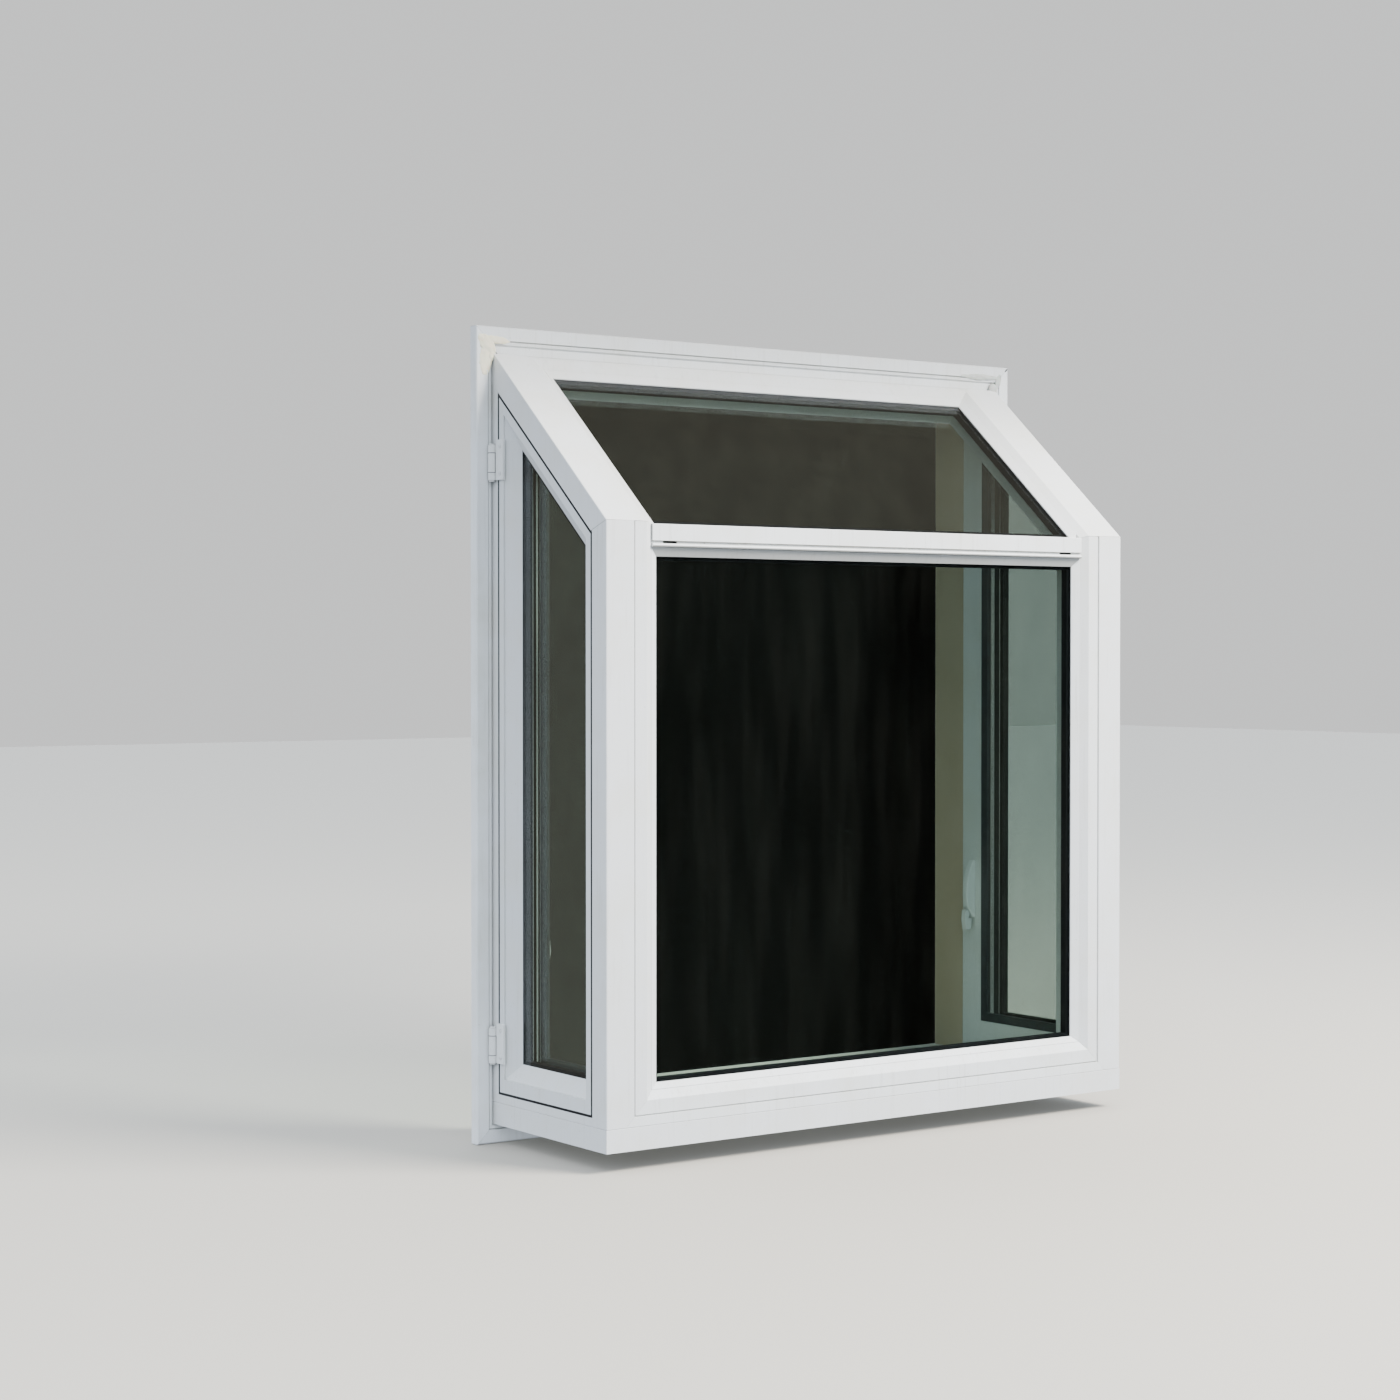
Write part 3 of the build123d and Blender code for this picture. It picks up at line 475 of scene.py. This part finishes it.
for hand, word in ((-1, "left"), (1, "right")):
    lap = SASH_GAP + SEAL_LAP
    face = hand * (sash_high[0] + SEAL_PROUD)
    side_ring(inside_sash(-lap), face, lap + SEAL_LAP, 0, -hand * SEAL_THICK)
    soften(SEAL_ROUND)
    finish_piece("sash_weatherseal_" + word, black_rubber_and_shade, 1.0)

    # A second bulb seal on the room side fills the step between the sash and its stops.
    face = hand * (sash_high[0] - SASH_THICK)
    side_ring(
        inside_sash(STOP_SEAL_INSET), face, STOP_SEAL_WIDE, 0, -hand * STOP_SEAL_THICK
    )
    soften(STOP_SEAL_ROUND)
    finish_piece("sash_stop_seal_" + word, black_rubber_and_shade, 1.0)

    # A thin black strip on the bevel of the inner bead is a painted reflection of the black spacer
    # in the glass.
    face = hand * (sash_high[0] - GLASS_SEAT - BEVEL_STRIP_FALL)
    side_ring(
        inside_sash(SIGHT_INSET - BEVEL_STRIP_WIDE),
        face,
        BEVEL_STRIP_WIDE,
        hand * BEVEL_STRIP_FALL,
        -hand * BEVEL_STRIP_THICK,
    )
    finish_piece("sash_bevel_shade_strip_" + word, black_rubber_and_shade, 1.0)

# Behind each drain slot of the eave bar sits a small black plate with a raised rim, painted
# shade that makes the slot look dark.
DRAIN_X = 0.4525
DRAIN_Y = -0.3665
DRAIN_Z = 1.0205
SHADE_PLATE_WIDE = 0.0294
SHADE_PLATE_HIGH = 0.0038
SHADE_PLATE_THICK = 0.002
SHADE_PLATE_CORNER = 0.0018
RIM_WIDE = 0.0006
RIM_DEEP = 0.0008
for hand, word in ((-1, "left"), (1, "right")):
    bpy.ops.object.select_all(action="DESELECT")
    bpy.ops.mesh.primitive_plane_add(
        size=1, location=(hand * DRAIN_X, DRAIN_Y, DRAIN_Z), rotation=(pi / 2, 0, 0)
    )
    bpy.context.object.scale = (SHADE_PLATE_WIDE, SHADE_PLATE_HIGH, 1)
    bpy.ops.object.transform_apply(location=True, rotation=True, scale=True)
    bpy.ops.object.mode_set(mode="EDIT")
    bpy.ops.mesh.select_all(action="SELECT")
    bpy.ops.mesh.bevel(offset=SHADE_PLATE_CORNER, segments=5, affect="VERTICES")
    bpy.ops.mesh.select_all(action="SELECT")
    bpy.ops.mesh.extrude_region_move(TRANSFORM_OT_translate={"value": (0, -SHADE_PLATE_THICK, 0)})
    bpy.ops.mesh.inset(thickness=RIM_WIDE, depth=-RIM_DEEP)
    bpy.ops.object.mode_set(mode="OBJECT")
    finish_piece("drain_slot_shade_" + word, black_rubber_and_shade)

# Insect screens
# Each screen is a slim roll-formed aluminium frame, painted charcoal, with glass-fibre mesh
# pressed into its groove. The mesh is woven from plastic-coated yarn 0.28 mm thick.
painted, tree = new_tree("charcoal_painted_aluminium")
place = add(tree, "ShaderNodeTexCoord", {}).outputs["Object"]
# The paint has faded in patches about 25 mm wide.
clouds = add(tree, "ShaderNodeTexNoise", {"Scale": 40, "Detail": 3}, {"Vector": place}).outputs[0]
# Paint texture about 0.8 mm across.
nap = add(tree, "ShaderNodeTexNoise", {"Scale": 1200, "Detail": 1}, {"Vector": place}).outputs[0]
tone = add(
    tree,
    "ShaderNodeMix",
    {"data_type": "RGBA", 6: linear("#383b3e"), 7: linear("#4b4e50")},
    {0: clouds},
).outputs[2]
bump = add(
    tree, "ShaderNodeBump", {"Strength": 0.2, "Distance": 0.0002}, {"Height": nap}
).outputs[0]
rough = add(
    tree, "ShaderNodeMapRange", {"To Min": 0.35, "To Max": 0.55}, {"Value": clouds}
).outputs[0]
shader = add(
    tree,
    "ShaderNodeBsdfPrincipled",
    {"IOR": 1.5},
    {"Base Color": tone, "Normal": bump, "Roughness": rough},
).outputs[0]
add(tree, "ShaderNodeOutputMaterial", {}, {"Surface": shader})
dress(painted, "insect_screens")

yarn, tree = new_tree("coated_glass_fibre_yarn")
place = add(tree, "ShaderNodeTexCoord", {}).outputs["Object"]
# The coating is dull and black, and dust greys it in patches about 40 mm wide.
dust = add(tree, "ShaderNodeTexNoise", {"Scale": 25, "Detail": 4}, {"Vector": place}).outputs[0]
tone = add(
    tree,
    "ShaderNodeMix",
    {"data_type": "RGBA", 6: linear("#2c2d2e"), 7: linear("#54534d")},
    {0: dust},
).outputs[2]
shader = add(
    tree, "ShaderNodeBsdfPrincipled", {"IOR": 1.5, "Roughness": 0.5}, {"Base Color": tone}
).outputs[0]
add(tree, "ShaderNodeOutputMaterial", {}, {"Surface": shader})

YARN = 0.00028
WARP_PITCH = 0.00141
WEFT_PITCH = 0.00159
SCREEN_FACE = 0.013
MESH_SINK = 0.004
screen_low, screen_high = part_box("insect_screens")


def yarn_row(place, size, pitch, count, axis):
    """One straight yarn, repeated side by side across the screen."""
    bpy.ops.mesh.primitive_cube_add(size=1, location=place)
    row = bpy.context.object
    row.scale = size
    bpy.ops.object.transform_apply(location=True, rotation=True, scale=True)
    repeat = row.modifiers.new("repeat", "ARRAY")
    repeat.use_relative_offset = False
    repeat.use_constant_offset = True
    repeat.constant_offset_displace = [pitch if axis == i else 0 for i in range(3)]
    repeat.count = count
    bpy.ops.object.modifier_apply(modifier="repeat")
    return row


for hand, word in ((-1, "left"), (1, "right")):
    bpy.ops.object.select_all(action="DESELECT")
    front, rear = screen_low[1] + SCREEN_FACE, screen_high[1] - SCREEN_FACE
    foot, top = screen_low[2] + SCREEN_FACE, screen_high[2] - SCREEN_FACE
    x = hand * (screen_high[0] - MESH_SINK)
    warp = yarn_row(
        (x, front, (foot + top) / 2),
        (YARN, YARN, top - foot),
        WARP_PITCH,
        int((rear - front) / WARP_PITCH),
        1,
    )
    # The weft comes last, so it is the active piece and takes the warp in.
    yarn_row(
        (x + YARN / 2, (front + rear) / 2, foot),
        (YARN, rear - front, YARN),
        WEFT_PITCH,
        int((top - foot) / WEFT_PITCH),
        2,
    )
    warp.select_set(True)
    bpy.ops.object.join()
    bpy.ops.object.mode_set(mode="EDIT")
    slope_fall = 1 / cos(SLOPE) - 1 + sin(SLOPE) / cos(SLOPE)
    cut_to_slope((0, rear, top - SCREEN_FACE * slope_fall))
    bpy.ops.object.mode_set(mode="OBJECT")
    finish_piece("screen_mesh_" + word, yarn)

# Insulating glass
# Two panes of clear float glass with a coating that turns what is behind it slightly green,
# held apart by a black spacer with a matte skin.
glass, tree = new_tree("coated_float_glass")
place = add(tree, "ShaderNodeTexCoord", {}).outputs["Object"]
# The rollers leave waves about 250 mm apart, which bend what the pane mirrors.
waves = add(tree, "ShaderNodeTexNoise", {"Scale": 4, "Detail": 0}, {"Vector": place}).outputs[0]
bump = add(
    tree, "ShaderNodeBump", {"Strength": 0.04, "Distance": 0.01}, {"Height": waves}
).outputs[0]
# Dried rain leaves a thin grey film in runs about 40 mm wide.
fall = add(
    tree,
    "ShaderNodeMapping",
    {"vector_type": "TEXTURE", "Scale": (0.04, 0.04, 0.3)},
    {"Vector": place},
).outputs[0]
runs = add(tree, "ShaderNodeTexNoise", {"Scale": 1, "Detail": 5}, {"Vector": fall}).outputs[0]
film = add(
    tree,
    "ShaderNodeMapRange",
    {"From Min": 0.45, "From Max": 0.85, "To Min": 0.0, "To Max": 0.004},
    {"Value": runs},
).outputs[0]
# Each face mirrors 4 percent straight on and all at a grazing angle.
edge_on = add(tree, "ShaderNodeLayerWeight", {"Blend": 0.5}).outputs["Facing"]
steep = add(tree, "ShaderNodeMath", {"operation": "POWER", 1: 5}, {0: edge_on}).outputs[0]
share = add(
    tree, "ShaderNodeMapRange", {"To Min": 0.043, "To Max": 1.0}, {"Value": steep}
).outputs[0]
through = add(tree, "ShaderNodeBsdfTransparent", {"Color": linear("#f6faf8")}).outputs[0]
mirror = add(
    tree, "ShaderNodeBsdfGlossy", {"Color": (1, 1, 1, 1), "Roughness": 0.0}, {"Normal": bump}
).outputs[0]
passing = add(tree, "ShaderNodeMixShader", {}, {0: share, 1: through, 2: mirror}).outputs[0]
dust = add(tree, "ShaderNodeBsdfDiffuse", {"Color": linear("#b9b6a8")}).outputs[0]
surface = add(tree, "ShaderNodeMixShader", {}, {0: film, 1: passing, 2: dust}).outputs[0]
add(tree, "ShaderNodeOutputMaterial", {}, {"Surface": surface})
dress(glass, "front_glass", "roof_glass", "sash_glass_left", "sash_glass_right")

spacer, tree = new_tree("black_foam_spacer")
place = add(tree, "ShaderNodeTexCoord", {}).outputs["Object"]
# The skin of the foam is dead matte, with pits about 1 mm across.
skin = add(tree, "ShaderNodeTexNoise", {"Scale": 900, "Detail": 2}, {"Vector": place}).outputs[0]
black = add(
    tree,
    "ShaderNodeMix",
    {"data_type": "RGBA", 6: linear("#0b0c0d"), 7: linear("#1c1e20")},
    {0: skin},
).outputs[2]
bump = add(
    tree, "ShaderNodeBump", {"Strength": 0.4, "Distance": 0.0004}, {"Height": skin}
).outputs[0]
shader = add(
    tree,
    "ShaderNodeBsdfPrincipled",
    {"Roughness": 0.75, "IOR": 1.5},
    {"Base Color": black, "Normal": bump},
).outputs[0]
add(tree, "ShaderNodeOutputMaterial", {}, {"Surface": shader})
dress(spacer, "glass_spacers")

# Hinges and handles
# Pressed and cast metal with a white powder coat, fine orange peel and soft gloss. The leaves
# of each hinge are screwed to the frame and the sash, and the locks to the wall jambs.
coated, tree = new_tree("white_powder_coat")
place = add(tree, "ShaderNodeTexCoord", {}).outputs["Object"]
# Orange peel about 1.2 mm across.
peel = add(tree, "ShaderNodeTexNoise", {"Scale": 800, "Detail": 1}, {"Vector": place}).outputs[0]
clouds = add(tree, "ShaderNodeTexNoise", {"Scale": 60, "Detail": 3}, {"Vector": place}).outputs[0]
corners = add(tree, "ShaderNodeAmbientOcclusion", {"samples": 6, "Distance": 0.004}).outputs["AO"]
tone = add(
    tree,
    "ShaderNodeMix",
    {"data_type": "RGBA", 6: linear("#f2f3f1"), 7: linear("#e8e8e2")},
    {0: clouds},
).outputs[2]
# Painted shade: ambient occlusion darkens corners and recesses toward grey #77756b.
painted_corner_shade = add(
    tree,
    "ShaderNodeMapRange",
    {"From Min": 0.8, "From Max": 0.2, "To Max": 0.4},
    {"Value": corners},
).outputs[0]
corner_shaded_coat = add(
    tree, "ShaderNodeMix", {"data_type": "RGBA", 7: linear("#77756b")}, {0: painted_corner_shade, 6: tone}
).outputs[2]
bump = add(
    tree, "ShaderNodeBump", {"Strength": 0.15, "Distance": 0.0002}, {"Height": peel}
).outputs[0]
rough = add(
    tree, "ShaderNodeMapRange", {"To Min": 0.28, "To Max": 0.42}, {"Value": clouds}
).outputs[0]
shader = add(
    tree,
    "ShaderNodeBsdfPrincipled",
    {"IOR": 1.5},
    {"Base Color": corner_shaded_coat, "Normal": bump, "Roughness": rough},
).outputs[0]
add(tree, "ShaderNodeOutputMaterial", {}, {"Surface": shader})
dress(coated, *[name for name in nodes if name.startswith(("hinge", "lever"))])

grey_nylon, tree = new_tree("grey_nylon")
place = add(tree, "ShaderNodeTexCoord", {}).outputs["Object"]
# Moulded nylon is dull and mid-grey, with dust in patches about 2 mm across.
dust = add(tree, "ShaderNodeTexNoise", {"Scale": 500, "Detail": 2}, {"Vector": place}).outputs[0]
tone = add(
    tree,
    "ShaderNodeMix",
    {"data_type": "RGBA", 6: linear("#4d4f50"), 7: linear("#6b6c69")},
    {0: dust},
).outputs[2]
shader = add(
    tree, "ShaderNodeBsdfPrincipled", {"IOR": 1.53, "Roughness": 0.5}, {"Base Color": tone}
).outputs[0]
add(tree, "ShaderNodeOutputMaterial", {}, {"Surface": shader})

# Each hinge pin has a domed cap at both ends, and two screws hold the tall plate to the sash.
# The recess of a screw is a cross.
CAP_R = 0.0056
CAP_H = 0.0026
HEAD_R = 0.0036
HEAD_H = 0.0014
RECESS_LONG = 1.15 * HEAD_R
RECESS_WIDE = 0.28 * HEAD_R
RECESS_LAP = 0.0001
SCREW_IN = 0.0105
PLATE_BACK = 0.010
SCREW_LOW = 0.011
SCREW_HIGH = 0.059
leaf_low, leaf_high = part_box("hinge_sash_leaves_right")
HINGE_REACH = 0.0615
PLATE_OVER = 0.009
KNUCKLE = 0.007
pin_x = leaf_high[0] - KNUCKLE
pin_y = leaf_high[1] - KNUCKLE
plate_y = leaf_low[1] + SCREW_IN
hinge_feet = (leaf_low[2], leaf_high[2] - PLATE_OVER - HINGE_REACH)


def turned_disc(radius, height, round_share, steps, turn=(0, 0, 0)):
    """A disc with its rims rounded by a share of its height."""
    bpy.ops.object.select_all(action="DESELECT")
    bpy.ops.mesh.primitive_cylinder_add(vertices=32, radius=radius, depth=height, rotation=turn)
    bpy.ops.object.transform_apply(location=True, rotation=True, scale=True)
    bpy.ops.object.mode_set(mode="EDIT")
    bpy.ops.mesh.select_all(action="SELECT")
    bpy.ops.mesh.bevel(offset=height * round_share, segments=steps, profile=0.5)
    bpy.ops.object.mode_set(mode="OBJECT")
    return bpy.context.object


cap = turned_disc(CAP_R, CAP_H, 0.45, 4)
head = turned_disc(HEAD_R, HEAD_H, 0.4, 3, (0, pi / 2, 0))
for turn in (0, pi / 2):
    bpy.ops.mesh.primitive_cube_add(size=1, rotation=(turn, 0, 0))
    slot_bit = bpy.context.object
    slot_bit.scale = (4 * HEAD_H, RECESS_LONG, RECESS_WIDE)
    slot_bit.location = (2 * HEAD_H + RECESS_LAP, 0, 0)
    bpy.ops.object.transform_apply(location=True, rotation=True, scale=True)
    recess = head.modifiers.new("recess", "BOOLEAN")
    recess.operation = "DIFFERENCE"
    recess.object = slot_bit
    bpy.context.view_layer.objects.active = head
    bpy.ops.object.modifier_apply(modifier="recess")
    bpy.data.objects.remove(slot_bit)


def put_copy(pattern, name, place, turn=(0, 0, 0), material=coated):
    """A copy of the pattern with its own mesh, moved to its place."""
    bpy.ops.object.select_all(action="DESELECT")
    piece = pattern.copy()
    piece.data = pattern.data.copy()
    bpy.context.scene.collection.objects.link(piece)
    piece.location = place
    piece.rotation_euler = turn
    piece.select_set(True)
    bpy.context.view_layer.objects.active = piece
    bpy.ops.object.transform_apply(location=True, rotation=True, scale=True)
    finish_piece(name, material)


for hand, word in ((-1, "left"), (1, "right")):
    for foot, level in zip(hinge_feet, ("lower", "upper")):
        title = level + "_" + word
        for end, z in (("foot", foot - CAP_H / 2), ("head", foot + HINGE_REACH + CAP_H / 2)):
            put_copy(cap, "hinge_pin_cap_" + end + "_" + title, (hand * pin_x, pin_y, z))
        for spot, up in (("low", SCREW_LOW), ("high", SCREW_HIGH)):
            put_copy(
                head,
                "hinge_screw_" + spot + "_" + title,
                (hand * (leaf_high[0] - PLATE_BACK + HEAD_H / 2), plate_y, foot + up),
                (0, 0, 0 if hand > 0 else pi),
            )
bpy.data.objects.remove(cap)
bpy.data.objects.remove(head)

# A grey nylon washer between the knuckles takes the weight of the sash.
WASHER_R = 0.0073
WASHER_H = 0.0014
KNUCKLE_H = 0.0135
washer = turned_disc(WASHER_R, WASHER_H, 0.35, 3)
for hand, word in ((-1, "left"), (1, "right")):
    for foot, level in zip(hinge_feet, ("lower", "upper")):
        for end, up in (("foot", KNUCKLE_H), ("head", HINGE_REACH - KNUCKLE_H)):
            put_copy(
                washer,
                "hinge_washer_" + end + "_" + level + "_" + word,
                (hand * pin_x, pin_y, foot + up),
                material=grey_nylon,
            )
bpy.data.objects.remove(washer)

# Seat, lining and base
# The seat and the boards that line the wall opening are painted wood. The seat is off-white
# and the lining beige. The base is insulating board with a white skin.


def painted_board(name, colour, worn, along):
    """Roller-painted board: brushed grain shows faintly, and the paint is slightly uneven."""
    material, tree = new_tree(name)
    place = add(tree, "ShaderNodeTexCoord", {}).outputs["Object"]
    # Grain about 4 mm wide and 250 mm long.
    lay = add(
        tree,
        "ShaderNodeMapping",
        {"vector_type": "TEXTURE", "Rotation": along, "Scale": (0.004, 0.004, 0.25)},
        {"Vector": place},
    ).outputs[0]
    grain = add(tree, "ShaderNodeTexNoise", {"Scale": 1, "Detail": 4}, {"Vector": lay}).outputs[0]
    # Roller marks about 2 mm across, and coats that dried unevenly over 110 mm.
    nap = add(tree, "ShaderNodeTexNoise", {"Scale": 500, "Detail": 2}, {"Vector": place}).outputs[0]
    clouds = add(
        tree, "ShaderNodeTexNoise", {"Scale": 9, "Detail": 3}, {"Vector": place}
    ).outputs[0]
    uneven = add(
        tree,
        "ShaderNodeMapRange",
        {"From Min": 0.35, "From Max": 0.7, "To Max": 0.6},
        {"Value": clouds},
    ).outputs[0]
    paint = add(
        tree,
        "ShaderNodeMix",
        {"data_type": "RGBA", 6: linear(colour), 7: linear(worn)},
        {0: uneven},
    ).outputs[2]
    relief = add(
        tree, "ShaderNodeMix", {"data_type": "FLOAT", "Factor": 0.3}, {2: grain, 3: nap}
    ).outputs[0]
    bump = add(
        tree, "ShaderNodeBump", {"Strength": 0.3, "Distance": 0.0004}, {"Height": relief}
    ).outputs[0]
    rough = add(
        tree, "ShaderNodeMapRange", {"To Min": 0.45, "To Max": 0.65}, {"Value": grain}
    ).outputs[0]
    shader = add(
        tree,
        "ShaderNodeBsdfPrincipled",
        {"IOR": 1.5},
        {"Base Color": paint, "Normal": bump, "Roughness": rough},
    ).outputs[0]
    add(tree, "ShaderNodeOutputMaterial", {}, {"Surface": shader})
    return material


dress(painted_board("off_white_painted_board", "#dcdad1", "#cfccc0", ALONG_X), "seat_board")
dress(
    painted_board("beige_painted_board", "#c8b69e", "#bba98f", ALONG_Z),
    "reveal_board_left",
    "reveal_board_right",
    "head_board",
)
dress(painted_board("white_skin_foam_board", "#dddcd6", "#d0cec4", ALONG_X), "base_panel")

# Floor, dark room, light and camera
# A plain pale floor, a dark card behind the opening for the unlit room, one large soft light
# above in front, and the camera where the photographer stood.
bpy.ops.object.select_all(action="DESELECT")
FLOOR_SIZE = 40
FLOOR_DROP = 0.001
floor_z = cad_box[0][2] - FLOOR_DROP
bpy.ops.mesh.primitive_plane_add(size=FLOOR_SIZE, location=(0, 0, floor_z))
floor = bpy.context.object
floor.name = "studio_floor"
pale, tree = new_tree("pale_studio_floor")
shader = add(
    tree, "ShaderNodeBsdfPrincipled", {"Base Color": linear("#bab4a8"), "Roughness": 0.8}
).outputs[0]
add(tree, "ShaderNodeOutputMaterial", {}, {"Surface": shader})
floor.data.materials.append(pale)
floor.visible_glossy = False
floor.visible_diffuse = False

bpy.ops.object.select_all(action="DESELECT")
bpy.ops.mesh.primitive_plane_add(size=1, rotation=(pi / 2, 0, 0))
card = bpy.context.object
card.name = "dark_room_card"
side, foot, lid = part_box("reveal_board_right"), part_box("seat_board"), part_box("head_board")
CARD_FREE = 0.0003
CARD_IN = 0.002
card_half = side[0][0] - CARD_FREE
card_foot, card_head = foot[1][2] + CARD_FREE, lid[0][2] - CARD_FREE
card.scale = (2 * card_half, card_head - card_foot, 1)
card.location = (0, side[1][1] - CARD_IN, (card_head + card_foot) / 2)
dark, tree = new_tree("dark_room")
unlit = add(tree, "ShaderNodeBsdfDiffuse", {"Color": linear("#101010")}).outputs[0]
open_back = add(tree, "ShaderNodeBsdfTransparent", {}).outputs[0]
away = add(tree, "ShaderNodeNewGeometry", {}).outputs["Backfacing"]
surface = add(tree, "ShaderNodeMixShader", {}, {0: away, 1: unlit, 2: open_back}).outputs[0]
add(tree, "ShaderNodeOutputMaterial", {}, {"Surface": surface})
card.data.materials.append(dark)

# A black flag over the wall keeps the light off the head of the window.
bpy.ops.object.select_all(action="DESELECT")
bpy.ops.mesh.primitive_plane_add(size=1, location=(0, -0.10, 2.0), rotation=(pi, 0, 0))
flag = bpy.context.object
flag.name = "studio_flag"
flag.scale = (2.6, 1.3, 1)
flag.data.materials.append(dark)
flag.visible_camera = False
flag.visible_glossy = False

world = bpy.data.worlds.new("studio")
bpy.context.scene.world = world
world.use_nodes = True
tree = world.node_tree
tree.nodes.clear()
seen = add(tree, "ShaderNodeLightPath", {}).outputs
paper = add(tree, "ShaderNodeBackground", {"Color": linear("#c4c5c5"), "Strength": 1.6}).outputs[0]
place = add(tree, "ShaderNodeTexCoord", {}).outputs["Generated"]
way = add(tree, "ShaderNodeSeparateXYZ", {}, {0: place}).outputs
# The light is weak from below, stronger from the sides and strongest from above.
sides = add(
    tree,
    "ShaderNodeMapRange",
    {"From Min": -0.3, "From Max": 0.1, "To Min": 0.6, "To Max": 2.05},
    {"Value": way["Z"]},
).outputs[0]
zenith = add(
    tree,
    "ShaderNodeMapRange",
    {"From Min": 0.1, "From Max": 1.0, "To Min": 0.0, "To Max": 2.4},
    {"Value": way["Z"]},
).outputs[0]
high_sky = add(tree, "ShaderNodeMath", {"operation": "ADD"}, {0: sides, 1: zenith}).outputs[0]
sky = add(
    tree, "ShaderNodeBackground", {"Color": linear("#d5dfed")}, {"Strength": high_sky}
).outputs[0]
# Glass mirrors a dim room in front, a little light from above and a mid-grey wall behind.
overhead = add(
    tree,
    "ShaderNodeMapRange",
    {"From Min": 0.15, "From Max": 0.9, "To Min": 0.02, "To Max": 0.32},
    {"Value": way["Z"]},
).outputs[0]
behind = add(
    tree,
    "ShaderNodeMapRange",
    {"From Min": 0.3, "From Max": 0.6, "To Min": 0.0, "To Max": 0.35},
    {"Value": way["Y"]},
).outputs[0]
bright = add(tree, "ShaderNodeMath", {"operation": "MAXIMUM"}, {0: overhead, 1: behind}).outputs[0]
mirror = add(
    tree, "ShaderNodeBackground", {"Color": linear("#e0d6c4")}, {"Strength": bright}
).outputs[0]
reflecting = add(
    tree, "ShaderNodeMixShader", {}, {0: seen["Is Glossy Ray"], 1: sky, 2: mirror}
).outputs[0]
showing = add(
    tree, "ShaderNodeMixShader", {}, {0: seen["Is Camera Ray"], 1: reflecting, 2: paper}
).outputs[0]
add(tree, "ShaderNodeOutputWorld", {}, {"Surface": showing})

key = bpy.data.lights.new("key_softbox", "AREA")
key.shape = "RECTANGLE"
key.size = 2.4
key.size_y = 2.0
key.energy = 960
key.color = (1.0, 0.97, 0.925)
key_object = bpy.data.objects.new("key_softbox", key)
key_object.location = (2.0, -3.5, 4.4)
key_object.visible_glossy = False
key_object.rotation_euler = (radians(46), 0, radians(29))
bpy.context.scene.collection.objects.link(key_object)

CAMERA_DIP = 0.991
CAMERA_TURN = 35.405
lens = bpy.data.cameras.new("camera")
lens.lens = 69.73
lens.sensor_width = 36
camera = bpy.data.objects.new("camera", lens)
camera.location = (-3.0644, -4.1329, 0.8335)
camera.rotation_euler = (radians(90 - CAMERA_DIP), 0, radians(-CAMERA_TURN))
bpy.context.scene.collection.objects.link(camera)
bpy.context.scene.camera = camera
